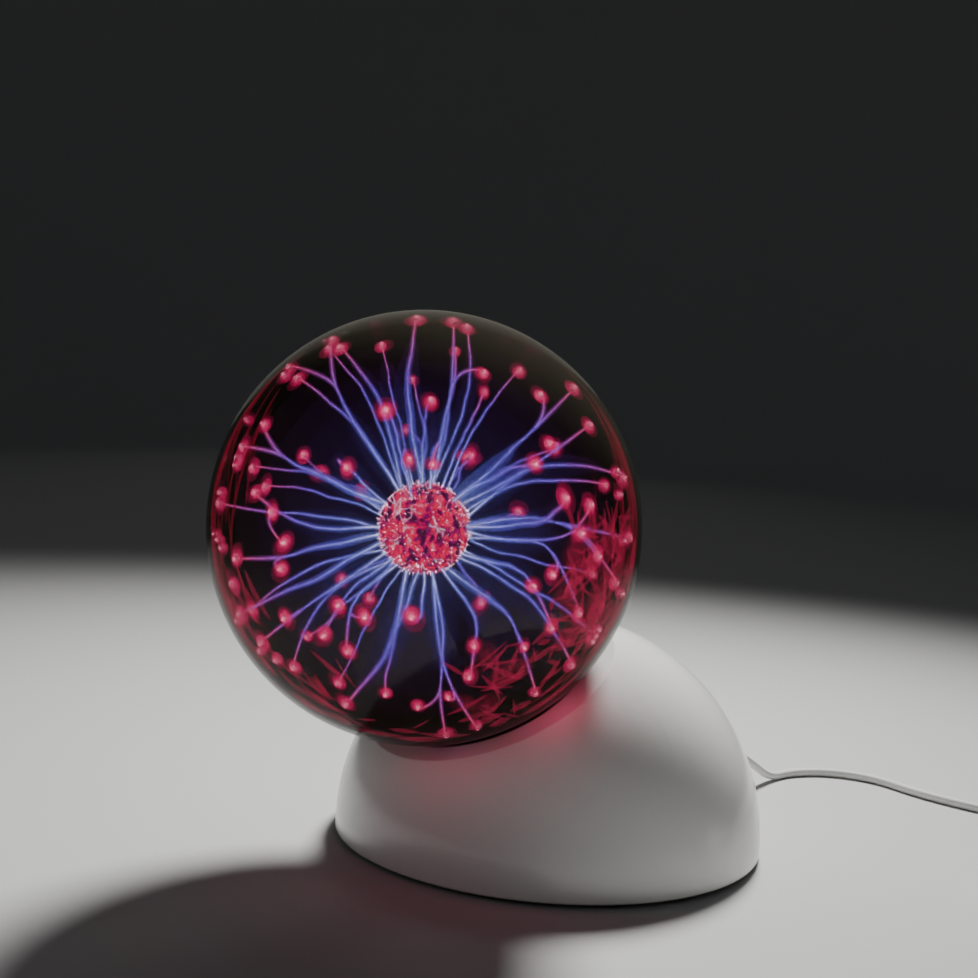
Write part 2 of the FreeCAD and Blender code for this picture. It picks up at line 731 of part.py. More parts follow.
def adapter_blades():
    """The two flat blades, with their holes and eased tips."""
    x, y = ADAPTER_AT
    tip = y - ADAPTER[1] / 2 - 17.0
    blades = []
    for side in (-6.35, 6.35):
        blade = block((1.5, 20.5, 6.3), (x + side, tip + 10.25, ADAPTER[2] / 2 - 3.15))
        ends = [e for e in blade.Edges if e.BoundBox.YMax < tip + 0.01 and e.BoundBox.XLength < 0.01]
        blade = blade.makeChamfer(0.5, ends)
        blades.append(blade.cut(rod(1.6, 20.0, (x + side - 10, tip + 4.0, ADAPTER[2] / 2), X)))
    return Part.makeCompound(blades)


def adapter_relief():
    """The tapered sleeve where the lead leaves the adapter."""
    at = (ADAPTER_AT[0], ADAPTER_AT[1] + ADAPTER[1] / 2, RELIEF_Z)
    return strain_relief(ADAPTER_RELIEF, 3.2, 2.3, at, Y)


# ---------------------------------------------------------------- all pieces


def pieces():
    """Every node's name and shape."""
    yield "globe_glass", globe_glass()
    yield "inner_bulb", inner_bulb()
    yield "bulb_wool", wool()
    yield "bulb_conductor", conductor()
    yield "glass_tip_off", tip_off()
    yield "high_voltage_cap", high_voltage_cap()
    yield "neck_sleeve", neck_sleeve()
    yield "neck_clamp_left", neck_clamp(-1)
    yield "neck_clamp_right", neck_clamp(1)
    yield "neck_clamp_screws", clamp_screws()
    yield "seat_gasket", seat_gasket()
    yield "base_dome", base_dome()
    yield "bottom_cover", bottom_cover()
    for name, spot in FEET.items():
        yield name, foot(spot)
    yield "cover_screws", cover_screws()
    yield "driver_board", driver_board()
    yield "board_screws", board_screws()
    yield "core_lower", core_half(False)
    yield "core_upper", core_half(True)
    yield "winding_bobbin", bobbin()
    yield "primary_winding", winding(BOBBIN_LOW + 1.0, PRIMARY_TOP, 8.0)
    yield "high_voltage_winding", winding(PRIMARY_TOP + 1.0, BOBBIN_HIGH - 1.0, 11.5)
    yield "heat_sink", heat_sink()
    yield "power_transistor", power_transistor()
    yield "heat_sink_screw", sink_screw()
    yield "supply_capacitor", can(5.0, 16.0, (-25.0, 30.0))
    yield "filter_capacitor", can(3.15, 11.0, (-22.0, 44.0))
    yield "film_capacitors", film_capacitors()
    yield "resistors", resistors()
    yield "driver_chip", driver_chip()
    yield "choke_core", choke_core()
    yield "choke_winding", choke_winding()
    yield "microphone", microphone()
    yield "dc_jack", dc_jack()
    yield "jack_pin", jack_pin()
    yield "switch_frame", switch_frame()
    yield "switch_slider", switch_slider()
    yield "switch_terminals", switch_terminals()
    yield "hv_lead", hv_lead()
    yield "plug_body", plug_body()
    yield "plug_barrel", plug_barrel()
    yield "plug_relief", plug_relief()
    yield "lead_cord", cord("lead_cord", LEAD_ROUTE, LEAD_D)
    yield "lead_coil", lead_coil()
    yield "coil_tie", coil_tie()
    yield "lead_tail", cord("lead_tail", TAIL_ROUTE, LEAD_D)
    yield "adapter_shell", adapter_shell()
    yield "adapter_cover", adapter_cover()
    yield "adapter_blades", adapter_blades()
    yield "adapter_relief", adapter_relief()


def main():
    """Build every piece and write it to its file."""
    os.makedirs("parts", exist_ok=True)
    for name, shape in pieces():
        save(name, shape)


main()
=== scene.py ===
"""The looks of a plasma ball: a glass globe, tinted dark as painted shade, full of glowing filaments on a
glossy white base.

Everything is in metres, in the part's own frame: +Z up, the globe leans towards -Y, the lead leaves at +Y.
"""

import json
import logging
import math
from collections import defaultdict
from collections.abc import Iterable, Sequence
from dataclasses import dataclass, field
from enum import Enum
from typing import Union

import bpy
import numpy as np
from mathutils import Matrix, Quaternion, Vector


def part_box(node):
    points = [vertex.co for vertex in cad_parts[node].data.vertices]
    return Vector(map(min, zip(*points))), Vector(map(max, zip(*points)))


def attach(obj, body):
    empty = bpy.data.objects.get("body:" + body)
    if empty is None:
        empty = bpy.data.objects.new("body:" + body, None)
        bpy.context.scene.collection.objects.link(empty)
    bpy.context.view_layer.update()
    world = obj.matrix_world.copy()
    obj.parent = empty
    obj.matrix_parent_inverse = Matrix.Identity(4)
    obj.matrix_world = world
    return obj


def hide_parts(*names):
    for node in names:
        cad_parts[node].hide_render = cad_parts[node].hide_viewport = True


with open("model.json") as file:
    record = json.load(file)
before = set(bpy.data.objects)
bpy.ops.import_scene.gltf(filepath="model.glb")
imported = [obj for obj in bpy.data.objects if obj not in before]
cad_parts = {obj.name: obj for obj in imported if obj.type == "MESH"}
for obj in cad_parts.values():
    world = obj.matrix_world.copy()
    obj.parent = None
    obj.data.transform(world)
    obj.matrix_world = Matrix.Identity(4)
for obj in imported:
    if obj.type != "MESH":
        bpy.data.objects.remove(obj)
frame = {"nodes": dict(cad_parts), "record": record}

LOG = logging.getLogger("plasma_ball")
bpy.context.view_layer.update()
MM = 0.001

Colour = tuple[float, float, float]
Place = tuple[float, float, float]
Value = Union[float, int, Colour, "Signal"]


# ---------------------------------------------------------------- shader language


class Signal:
    """One output of a material's nodes, that Python's operators work on."""

    def __init__(self, graph: "Graph", socket: bpy.types.NodeSocket) -> None:
        """Keep the socket and the graph it belongs to."""
        self.graph = graph
        self.socket = socket

    def _math(self, operation: str, first: Value, second: Value) -> "Signal":
        """Add one Math node."""
        return self.graph.add("ShaderNodeMath", {"operation": operation}, {0: first, 1: second})

    def __add__(self, other: Value) -> "Signal":
        """self + other"""
        return self._math("ADD", self, other)

    __radd__ = __add__

    def __sub__(self, other: Value) -> "Signal":
        """self - other"""
        return self._math("SUBTRACT", self, other)

    def __rsub__(self, other: Value) -> "Signal":
        """other - self"""
        return self._math("SUBTRACT", other, self)

    def __mul__(self, other: Value) -> "Signal":
        """self * other"""
        return self._math("MULTIPLY", self, other)

    __rmul__ = __mul__

    def __pow__(self, other: Value) -> "Signal":
        """self ** other"""
        return self._math("POWER", self, other)

    def above(self, level: float) -> "Signal":
        """1 where the signal is over a level, else 0."""
        return self._math("GREATER_THAN", self, level)


class Graph:
    """The nodes of one material, round one Principled shader."""

    def __init__(self, name: str) -> None:
        """Make the material with its shader and output.

        Args:
            name: the material's name.
        """
        self.material = bpy.data.materials.new(name)
        self.material.use_nodes = True
        self.tree = self.material.node_tree
        self.tree.nodes.clear()
        self.shader = self.tree.nodes.new("ShaderNodeBsdfPrincipled")
        output = self.tree.nodes.new("ShaderNodeOutputMaterial")
        self.tree.links.new(self.shader.outputs[0], output.inputs["Surface"])

    def add(
        self,
        kind: str,
        settings: dict[str, object] | None = None,
        sockets: dict[int | str, Value] | None = None,
        output: int | str = 0,
    ) -> Signal:
        """Add any node.

        Args:
            kind: the node's type.
            settings: its properties, set first; "stops" are a ramp's places and colours.
            sockets: values or signals of its inputs, by name or number.
            output: the output to hand back.

        Returns:
            The chosen output as a signal.
        """
        node = self.tree.nodes.new(kind)
        for key, value in (settings or {}).items():
            if key == "stops":
                self._ramp(node, value)
            else:
                setattr(node, key, value)
        for key, value in (sockets or {}).items():
            self.feed(node.inputs[key], value)
        return Signal(self, node.outputs[output])

    def _ramp(self, node: bpy.types.Node, stops: Sequence[tuple[float, Colour]]) -> None:
        """Give a colour ramp its stops.

        Args:
            node: the ramp.
            stops: places from 0 to 1 with their colours.
        """
        elements = node.color_ramp.elements
        while len(elements) < len(stops):
            elements.new(0.5)
        for element, (place, colour) in zip(elements, stops):
            element.position = place
            element.color = (*colour, 1.0)

    def feed(self, socket: bpy.types.NodeSocket, value: Value) -> None:
        """Link a signal to an input, or set the input's value.

        Args:
            socket: the input.
            value: the signal, number or colour.
        """
        if isinstance(value, Signal):
            self.tree.links.new(value.socket, socket)
        elif isinstance(value, tuple) and len(socket.default_value) == 4:
            socket.default_value = (*value, 1.0)
        else:
            socket.default_value = value

    def set(self, **sockets: Value) -> None:
        """Set or link the shader's own inputs.

        Args:
            sockets: values or signals by the input's name, with _ for spaces.
        """
        names = {s.name.lower().replace(" ", "_"): s for s in self.shader.inputs}
        for key, value in sockets.items():
            self.feed(names[key], value)

    def place(self) -> Signal:
        """The point of the surface, in metres."""
        return self.add("ShaderNodeTexCoord", output="Object")

    def stretched(self, scale: Colour) -> Signal:
        """The point of the surface, scaled along each axis."""
        return self.add("ShaderNodeVectorMath", {"operation": "MULTIPLY"}, {0: self.place(), 1: scale})

    def noise(self, scale: float, detail: float = 2.0, at: Signal | None = None) -> Signal:
        """Soft noise from 0 to 1; scale is in features per metre."""
        sockets = {"Vector": at or self.place(), "Scale": scale, "Detail": detail}
        return self.add("ShaderNodeTexNoise", {}, sockets, "Fac")

    def ramp(self, factor: Signal, stops: Sequence[tuple[float, Colour]]) -> Signal:
        """Colours along a factor."""
        return self.add("ShaderNodeValToRGB", {"stops": stops}, {0: factor})

    def between(self, factor: Signal, first: Value, second: Value) -> Signal:
        """A mix of two colours."""
        return self.add("ShaderNodeMix", {"data_type": "RGBA"}, {0: factor, 6: first, 7: second}, 2)

    def bump(self, height: Signal, depth: float, strength: float = 1.0) -> None:
        """Raise the surface by a height, whose full size is a depth in metres."""
        sockets = {"Height": height, "Distance": depth, "Strength": strength}
        self.set(normal=self.add("ShaderNodeBump", {}, sockets))

    def from_centre(self, centre: Place, reach: float) -> Signal:
        """How far the surface is from a centre.

        Args:
            centre: the centre, in metres.
            reach: the distance that counts as 1, in metres.

        Returns:
            The distance as a share of the reach.
        """
        shifted = self.add("ShaderNodeVectorMath", {"operation": "SUBTRACT"}, {0: self.place(), 1: centre})
        length = self.add("ShaderNodeVectorMath", {"operation": "LENGTH"}, {0: shifted}, "Value")
        return length * (1 / reach)


# ---------------------------------------------------------------- finishes


@dataclass(frozen=True)
class Finish:
    """A surface finish, which makes its material once."""

    name: str

    def material(self) -> bpy.types.Material:
        """The finish's material, made at its first use.

        Returns:
            The material.
        """
        found = bpy.data.materials.get(self.name)
        if found:
            return found
        graph = Graph(self.name)
        self.paint(graph)
        return graph.material

    def paint(self, graph: Graph) -> None:
        """Lay out the finish's nodes."""
        raise NotImplementedError


@dataclass(frozen=True)
class Moulded(Finish):
    """Moulded plastic: slightly uneven in colour and gloss, with a fine grain or orange peel."""

    colour: Colour
    roughness: float = 0.35
    grain: float = 900.0  # features per metre
    depth: float = 0.00002
    spread: float = 0.04  # how far the colour wanders
    coat: float = 0.0

    def paint(self, graph: Graph) -> None:
        """Lay out the finish's nodes.

        Args:
            graph: the material's nodes.
        """
        cloud = graph.noise(14.0, 3.0)
        dark = tuple(c * (1 - self.spread) for c in self.colour)
        graph.set(base_color=graph.between(cloud, dark, self.colour))
        wander = graph.noise(60.0, 4.0)
        graph.set(roughness=self.roughness * 0.8 + wander * (self.roughness * 0.4))
        graph.set(coat_weight=self.coat, coat_roughness=0.06, ior=1.49)
        graph.bump(graph.noise(self.grain, 2.0), self.depth)


@dataclass(frozen=True)
class ShellGloss(Finish):
    """The base's polished white plastic: a faint orange peel, and a little dust in its gloss."""

    colour: Colour = (0.83, 0.83, 0.815)

    def paint(self, graph: Graph) -> None:
        """Lay out the finish's nodes.

        Args:
            graph: the material's nodes.
        """
        cloud = graph.noise(9.0, 3.0)
        warm = tuple(c * k for c, k in zip(self.colour, (0.985, 0.975, 0.955)))
        graph.set(base_color=graph.between(cloud, warm, self.colour))
        smear = graph.noise(26.0, 5.0)
        dust = graph.noise(1500.0, 1.0).above(0.74)
        graph.set(roughness=0.17 + smear * 0.10 + dust * 0.12)
        graph.set(coat_weight=0.35, coat_roughness=0.05, ior=1.49)
        peel = graph.noise(170.0, 2.0) + graph.noise(700.0, 1.0) * 0.15
        graph.bump(peel, 0.000035)


@dataclass(frozen=True)
class SoftRubber(Finish):
    """Rubber or foam, matt and finely pitted."""

    colour: Colour

    def paint(self, graph: Graph) -> None:
        """Lay out the finish's nodes.

        Args:
            graph: the material's nodes.
        """
        speck = graph.noise(2200.0, 2.0)
        pale = tuple(c * 1.5 + 0.01 for c in self.colour)
        graph.set(base_color=graph.between(speck, self.colour, pale))
        graph.set(roughness=0.6 + graph.noise(300.0) * 0.3)
        graph.bump(speck, 0.00005)


@dataclass(frozen=True)
class Metal(Finish):
    """Plated, brushed or cast metal, with lines along one axis and a little tarnish."""

    colour: Colour
    roughness: float = 0.3
    lines: Colour = (40.0, 2500.0, 2500.0)

    def paint(self, graph: Graph) -> None:
        """Lay out the finish's nodes.

        Args:
            graph: the material's nodes.
        """
        tarnish = graph.noise(220.0, 4.0)
        worn = tuple(c * 0.72 for c in self.colour)
        graph.set(base_color=graph.between(tarnish, worn, self.colour), metallic=1.0)
        streak = graph.noise(1.0, 2.0, graph.stretched(self.lines))
        graph.set(roughness=self.roughness * 0.7 + streak * (self.roughness * 0.6))
        graph.bump(streak, 0.00001)


@dataclass(frozen=True)
class Windings(Finish):
    """Turns of lacquered wire or tape, side by side, with painted shade in the grooves between turns."""

    colour: Colour
    painted_groove_shade: Colour
    pitch: float  # metres from turn to turn
    shine: float = 0.3

    def paint(self, graph: Graph) -> None:
        """Lay out the finish's nodes.

        Args:
            graph: the material's nodes.
        """
        settings = {"wave_type": "BANDS", "bands_direction": "Z"}
        sockets = {"Vector": graph.place(), "Scale": 0.314 / self.pitch, "Distortion": 0.4}
        turns = graph.add("ShaderNodeTexWave", settings, sockets, "Fac")
        # the colour falls to the groove colour between turns: painted shade in the grooves
        graph.set(base_color=graph.between(turns, self.painted_groove_shade, self.colour))
        graph.set(roughness=self.shine + graph.noise(400.0) * 0.2)
        graph.bump(turns, self.pitch * 0.3)


@dataclass(frozen=True)
class CircuitBoard(Finish):
    """Green lacquer over copper tracks."""

    lacquer: Colour = (0.015, 0.16, 0.05)
    track: Colour = (0.04, 0.33, 0.12)

    def paint(self, graph: Graph) -> None:
        """Lay out the finish's nodes.

        Args:
            graph: the material's nodes.
        """
        settings = {"offset": 0.37, "squash": 1.6}
        sockets = {"Vector": graph.place(), "Scale": 160.0, "Mortar Size": 0.045, "Mortar Smooth": 0.2}
        tracks = graph.add("ShaderNodeTexBrick", settings, sockets, "Fac")
        tone = graph.between(graph.noise(90.0), self.lacquer, tuple(c * 1.4 for c in self.lacquer))
        graph.set(base_color=graph.between(tracks, tone, self.track))
        graph.set(roughness=0.32 + graph.noise(500.0) * 0.15)
        graph.bump(tracks, 0.00004)


@dataclass(frozen=True)
class Ferrite(Finish):
    """Dark sintered ferrite with fine pores."""

    def paint(self, graph: Graph) -> None:
        """Lay out the finish's nodes.

        Args:
            graph: the material's nodes.
        """
        pores = graph.noise(1800.0, 3.0)
        graph.set(base_color=graph.between(pores, (0.02, 0.02, 0.022), (0.09, 0.09, 0.10)))
        graph.set(roughness=0.45 + pores * 0.3)
        graph.bump(pores, 0.00006)


@dataclass(frozen=True)
class ShadeTintedGlass(Finish):
    """Smooth hard glass with faint draw lines, tinted dark and made partly opaque as painted shade, so that
    the globe stays dark inside in a pale room.
    """

    colour: Colour
    cover: float  # how much one surface of the wall hides, seen square on; the dark it leaves is painted shade
    specular: float = 0.22
    edge_cover: float = 0.78  # how much it hides at its outline, which paints a darker rim as shade

    def paint(self, graph: Graph) -> None:
        """Lay out the finish's nodes.

        Args:
            graph: the material's nodes.
        """
        haze = graph.noise(11.0, 3.0)
        pale = tuple(c * 1.8 + 0.002 for c in self.colour)
        graph.set(base_color=graph.between(haze, self.colour, pale))
        graph.set(roughness=0.02 + haze * 0.03)
        # alpha rises towards the outline, so the rim is painted darker as shade
        edge = graph.add("ShaderNodeLayerWeight", {}, {"Blend": 0.5}, "Facing") ** 1.5
        graph.set(alpha=self.cover + edge * (self.edge_cover - self.cover))
        graph.set(specular_ior_level=self.specular, ior=1.14)
        graph.bump(graph.noise(30.0, 1.0), 0.00002)


@dataclass(frozen=True)
class Glow(Finish):
    """Light in the gas, coloured by its distance from the middle of the globe."""

    stops: tuple[tuple[float, Colour], ...]
    strength: float
    cover: float
    centre: tuple[float, float, float]
    reach: float

    def paint(self, graph: Graph) -> None:
        """Lay out the finish's nodes.

        Args:
            graph: the material's nodes.
        """
        colour = graph.ramp(graph.from_centre(self.centre, self.reach), self.stops)
        graph.set(base_color=(0.0, 0.0, 0.0), roughness=1.0, specular_ior_level=0.0)
        graph.set(emission_color=colour, emission_strength=self.strength, alpha=self.cover)
        graph.material.cycles.emission_sampling = "NONE"


@dataclass(frozen=True)
class HotWool(Finish):
    """The lit ball of steel wool on its stem: red and magenta patches, dark knots, pale threads; the stem's
    near-black colour is partly its dark conductor and partly painted shade.
    """

    centre: tuple[float, float, float]
    radius: float
    strength: float

    def paint(self, graph: Graph) -> None:
        """Lay out the finish's nodes.

        Args:
            graph: the material's nodes.
        """
        patches = graph.noise(300.0, 5.0)
        reds = [
            (0.39, (0.03, 0.0, 0.03)),
            (0.45, (0.26, 0.0, 0.12)),
            (0.50, (0.85, 0.0, 0.09)),
            (0.60, (1.0, 0.010, 0.07)),
            (0.68, (1.0, 0.34, 0.50)),
        ]
        base = graph.ramp(patches, reds)
        sockets = {"Vector": graph.place(), "Scale": 210.0}
        cells = graph.add("ShaderNodeTexVoronoi", {"feature": "DISTANCE_TO_EDGE"}, sockets, "Distance")
        threads = graph.ramp(cells, [(0.0, (1.0, 1.0, 1.0)), (0.06, (0.0, 0.0, 0.0))])
        sparse = graph.noise(120.0, 2.0).above(0.58)
        threads = graph.between(sparse, (0.0, 0.0, 0.0), threads)
        colour = graph.between(threads, base, (1.0, 0.62, 0.80))
        stem = graph.from_centre(self.centre, self.radius).above(1.04)
        colour = graph.between(stem, colour, (0.0, 0.0, 0.0))
        # the near-black base colour, which shows on the unlit stem, is partly its dark conductor and partly
        # painted shade
        graph.set(base_color=(0.02, 0.01, 0.01), roughness=0.8)
        graph.set(emission_color=colour, emission_strength=self.strength)
        graph.bump(patches, 0.0004)
        graph.material.cycles.emission_sampling = "NONE"


@dataclass(frozen=True)
class StudioPaper(Finish):
    """The plain pale floor."""

    colour: Colour

    def paint(self, graph: Graph) -> None:
        """Lay out the finish's nodes."""
        graph.set(base_color=self.colour, roughness=0.9, specular_ior_level=0.1)


# ---------------------------------------------------------------- meshes


def dress(piece: bpy.types.Object, finish: Finish) -> None:
    """Put one finish on every slot of a piece.

    Args:
        piece: the piece.
        finish: its finish.
    """
    slots = piece.data.materials
    if not len(slots):
        slots.append(finish.material())
    for index in range(len(slots)):
        slots[index] = finish.material()
    for slot in piece.material_slots:
        slot.material = finish.material()


@dataclass
class MeshPile:
    """Points and faces gathered from several shapes into one mesh."""

    points: list[np.ndarray] = field(default_factory=list)
    faces: list[tuple[int, ...]] = field(default_factory=list)
    count: int = 0

    def take(self, points: np.ndarray, faces: Iterable[tuple[int, ...]]) -> None:
        """Add one shape.

        Args:
            points: its points, one a row.
            faces: its faces, which number those points from 0.
        """
        self.points.append(points)
        self.faces.extend(tuple(i + self.count for i in face) for face in faces)
        self.count += len(points)

    def tube(self, path: np.ndarray, radii: np.ndarray, sides: int = 8) -> None:
        """Add a closed round tube along a path.

        Args:
            path: the points of its centreline.
            radii: its radius at each of them.
            sides: how many sides it has.
        """
        steps = np.gradient(path, axis=0)
        steps /= np.linalg.norm(steps, axis=1)[:, None]
        across = np.cross(steps[0], [0.31, 0.52, 0.79])
        rings = []
        for point, step, radius in zip(path, steps, radii):
            across = across - step * np.dot(across, step)
            across /= np.linalg.norm(across)
            other = np.cross(step, across)
            angles = np.linspace(0, 2 * math.pi, sides, endpoint=False)
            ring = np.outer(np.cos(angles), across) + np.outer(np.sin(angles), other)
            rings.append(point + ring * radius)
        faces = []
        for row in range(len(path) - 1):
            for side in range(sides):
                after = (side + 1) % sides
                a, b = row * sides + side, row * sides + after
                faces.append((a, b, b + sides, a + sides))
        last = (len(path) - 1) * sides
        faces.append(tuple(reversed(range(sides))))
        faces.append(tuple(range(last, last + sides)))
        self.take(np.concatenate(rings), faces)

    def pebble(self, centre: np.ndarray, axes: np.ndarray, rows: int = 7, sides: int = 12) -> None:
        """Add a closed ellipsoid.

        Args:
            centre: its middle.
            axes: its three half axes, one a row.
            rows: rings between its poles.
            sides: points in a ring.
        """
        ball = [np.array([0.0, 0.0, 1.0])]
        for row in range(1, rows + 1):
            tilt = math.pi * row / (rows + 1)
            for side in range(sides):
                turn = 2 * math.pi * side / sides
                flat = math.sin(tilt)
                ball.append(np.array([flat * math.cos(turn), flat * math.sin(turn), math.cos(tilt)]))
        ball.append(np.array([0.0, 0.0, -1.0]))
        faces = [(0, 1 + side, 1 + (side + 1) % sides) for side in range(sides)]
        for row in range(rows - 1):
            for side in range(sides):
                a = 1 + row * sides + side
                b = 1 + row * sides + (side + 1) % sides
                faces.append((a, a + sides, b + sides, b))
        end, last = 1 + rows * sides, 1 + (rows - 1) * sides
        faces += [(end, last + (side + 1) % sides, last + side) for side in range(sides)]
        self.take(centre + np.array(ball) @ axes, faces)

    def piece(self, name: str, finish: Finish, body: str) -> bpy.types.Object:
        """Make the mesh, dress it and let it ride on a body.

        Args:
            name: the piece's name.
            finish: its finish.
            body: the body that it rides on.

        Returns:
            The new piece.
        """
        mesh = bpy.data.meshes.new(name)
        mesh.from_pydata(np.concatenate(self.points).tolist(), [], self.faces)
        mesh.shade_smooth()
        mesh.update()
        made = bpy.data.objects.new(name, mesh)
        bpy.context.scene.collection.objects.link(made)
        dress(made, finish)
        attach(made, body)
        return made


def unit(vector: np.ndarray) -> np.ndarray:
    """A vector of length one."""
    return vector / np.linalg.norm(vector)


@dataclass(frozen=True)
class Ball:
    """The middle and the radius of a round part."""

    centre: Place
    radius: float


def ball_of(node: str) -> Ball:
    """Measure a part that is widest across X and reaches furthest forwards and upwards as a ball.

    Args:
        node: the part's name.

    Returns:
        The ball, in metres.
    """
    low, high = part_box(node)
    radius = (high.x - low.x) / 2
    return Ball(((low.x + high.x) / 2, low.y + radius, high.z - radius), radius)


GLOBE = ball_of("globe_glass")
BULB = ball_of("inner_bulb")


@dataclass(frozen=True)
class FrontQuarter:
    """The view that shows the globe and the base's side: where the eye stands, and its three directions."""

    azimuth: float = math.radians(55.5)
    elevation: float = math.radians(7.0)
    roll: float = math.radians(3.0)
    distance: float = 0.56

    @property
    def toward(self) -> np.ndarray:
        """The direction from the globe to the eye.

        Returns:
            A unit vector.
        """
        flat = math.cos(self.elevation)
        return np.array([
            math.sin(self.azimuth) * flat, -math.cos(self.azimuth) * flat, math.sin(self.elevation),
        ])

    @property
    def right(self) -> np.ndarray:
        """The direction to the eye's right, before it is rolled."""
        return np.array([math.cos(self.azimuth), math.sin(self.azimuth), 0.0])

    @property
    def up(self) -> np.ndarray:
        """The direction upwards in the eye's view, before it is rolled."""
        return np.cross(self.toward, self.right)

    def way(self, place: Place) -> np.ndarray:
        """A vector given as right, up and towards the eye."""
        return self.right * place[0] + self.up * place[1] + self.toward * place[2]


FRONT = FrontQuarter()


# ---------------------------------------------------------------- the globe's light


class Side(Enum):
    """Which half of the globe a filament ends in, as seen from its front quarter."""

    NEAR = 1.0
    FAR = -1.0


@dataclass(frozen=True)
class Heading:
    """A spot on the globe, as seen from its front quarter."""

    clock: float  # degrees clockwise from the top
    spread: float  # distance from the middle, as a share of the globe's radius
    side: Side = Side.NEAR


@dataclass(frozen=True)
class Filament:
    """One filament: its tips, where it forks, and how it bends and glows."""

    tips: tuple[Heading, ...]
    fork: float = 0.66  # where it forks, as a share of its length
    sway: float = 0.0  # millimetres to the side, half way along
    width: float = 1.0
    band: float = 0.0  # radius in millimetres of a wide soft band round its trunk
    tip_size: float = 1.0


def near(clock: float, spread: float) -> Heading:
    """A spot in the near half."""
    return Heading(clock, spread, Side.NEAR)


def far(clock: float, spread: float) -> Heading:
    """A spot in the far half."""
    return Heading(clock, spread, Side.FAR)


FILAMENTS = (
    Filament((near(-2, 0.985),), sway=-4, width=1.3, band=1.7, tip_size=1.3),
    Filament((near(8, 0.985), near(21, 0.78)), fork=0.58, sway=-1, width=1.2, band=1.2, tip_size=1.2),
    Filament((near(3, 0.6),), width=0.7),
    Filament((near(12, 0.965),), sway=5, width=0.8),
    Filament((near(-26, 0.985), near(-40, 0.985)), fork=0.72, width=1.3, tip_size=1.1),
    Filament((near(-25, 0.935),), sway=5, width=1.0, band=1.0, tip_size=1.2),
    Filament((near(-18, 0.58),), width=1.0, tip_size=1.35),
    Filament((far(-13, 0.88),), width=0.6),
    Filament((near(-57, 0.895), near(-66, 0.935)), fork=0.70, sway=-5, width=1.4, band=1.6, tip_size=1.2),
    Filament((near(-52, 0.46),), width=0.8, tip_size=1.0),
    Filament((far(-62, 0.55),), width=0.6, tip_size=1.25),
    Filament((near(-78, 0.81), near(-84, 0.72)), fork=0.76, sway=-5, width=1.2, tip_size=1.2),
    Filament((near(-83, 0.97), near(-96, 0.66)), fork=0.66, sway=2, width=0.9, tip_size=1.25),
    Filament((near(-99, 0.895), near(-106, 0.7)), fork=0.72, sway=-3, width=1.3, band=1.9, tip_size=1.3),
    Filament((near(-115, 0.955),), sway=-4, width=1.1, band=1.5),
    Filament((near(-123, 0.78), near(-125, 0.935)), fork=0.70, sway=-2, width=1.2, tip_size=1.3),
    Filament((near(-132, 0.54), near(-137, 0.69)), fork=0.56, width=0.9, band=1.0, tip_size=1.3),
    Filament((near(-146, 0.5), near(-148, 0.68)), fork=0.62, sway=4, width=1.0, tip_size=1.3),
    Filament((near(-137, 0.895),), sway=6, width=0.8, tip_size=1.1),
    Filament((near(-156, 0.905),), sway=-5, width=1.4, band=1.4),
    Filament((near(-172, 0.42),), width=1.0, tip_size=1.25),
    Filament((near(-167, 0.8),), sway=3, width=0.8, band=1.5, tip_size=0.9),
    Filament((near(-178, 0.84), near(-186, 0.975)), fork=0.76, sway=-2, width=1.0, tip_size=1.1),
    Filament((near(165, 0.965), near(172, 0.8)), fork=0.82, sway=3, width=1.2, tip_size=0.9),
    Filament((near(163, 0.73), near(157, 0.6)), fork=0.80, sway=-3, width=1.0, tip_size=1.1),
    Filament((near(140, 0.73), near(146, 0.935)), fork=0.66, sway=-5, width=1.2, band=2.0, tip_size=0.9),
    Filament((near(133, 0.945),), sway=-4, width=1.0, tip_size=1.0),
    Filament((near(118, 0.58), near(128, 0.76)), fork=0.68, sway=-3, width=1.1, band=1.2, tip_size=1.1),
    Filament((near(110, 0.64), near(119, 0.83)), fork=0.62, sway=-4, width=1.0, tip_size=1.2),
    Filament((near(99, 0.83), near(106, 0.935), near(93, 0.965)), fork=0.60, sway=-3, width=1.2, band=2.2,
             tip_size=1.2),
    Filament((near(78, 0.68),), sway=5, width=1.4, band=1.7, tip_size=1.2),
    Filament((near(82, 0.79), near(92, 0.74)), fork=0.80, sway=7, width=1.0, tip_size=1.35),
    Filament((near(76, 0.965),), sway=-8, width=1.1, tip_size=1.25),
    Filament((near(41, 0.83), near(47, 0.965)), fork=0.60, sway=3, width=1.3, band=3.6, tip_size=1.3),
    Filament((near(56, 0.71), near(58, 0.915)), fork=0.70, sway=4, width=1.2, band=2.6, tip_size=1.25),
    Filament((near(60, 0.6),), sway=3, width=1.0, band=1.2, tip_size=1.2),
    Filament((far(33, 0.40),), width=0.8, tip_size=1.2),
    Filament((near(-12, 0.33),), width=0.8, tip_size=0.8),
    Filament((near(8, 0.3),), width=0.8, tip_size=0.8),
)


SPOT_LAYERS = (
    ("heart", 0.0007), ("blush", 0.0011), ("blush", 0.0014), ("bloom", 0.0018),
    ("bloom", 0.0022), ("mist", 0.0026), ("mist", 0.0031),
)
CLOUD_LAYERS = tuple(("cloud", half) for half in (0.0012, 0.0019, 0.0027, 0.0035, 0.0043, 0.0051, 0.0060))


GOLDEN_TURN = math.pi * (3 - math.sqrt(5))
RIPPLES = ((2.2, 0.0012), (4.7, 0.0007), (11.0, 0.00022))  # half waves along a filament, and their height
AURA_GROWTH = (0.00025, 0.00065)  # how far outside the bulb its aura lies
GAS_SHELLS = (0.42, 0.55, 0.67, 0.78, 0.88)  # as shares of the glass's inner radius


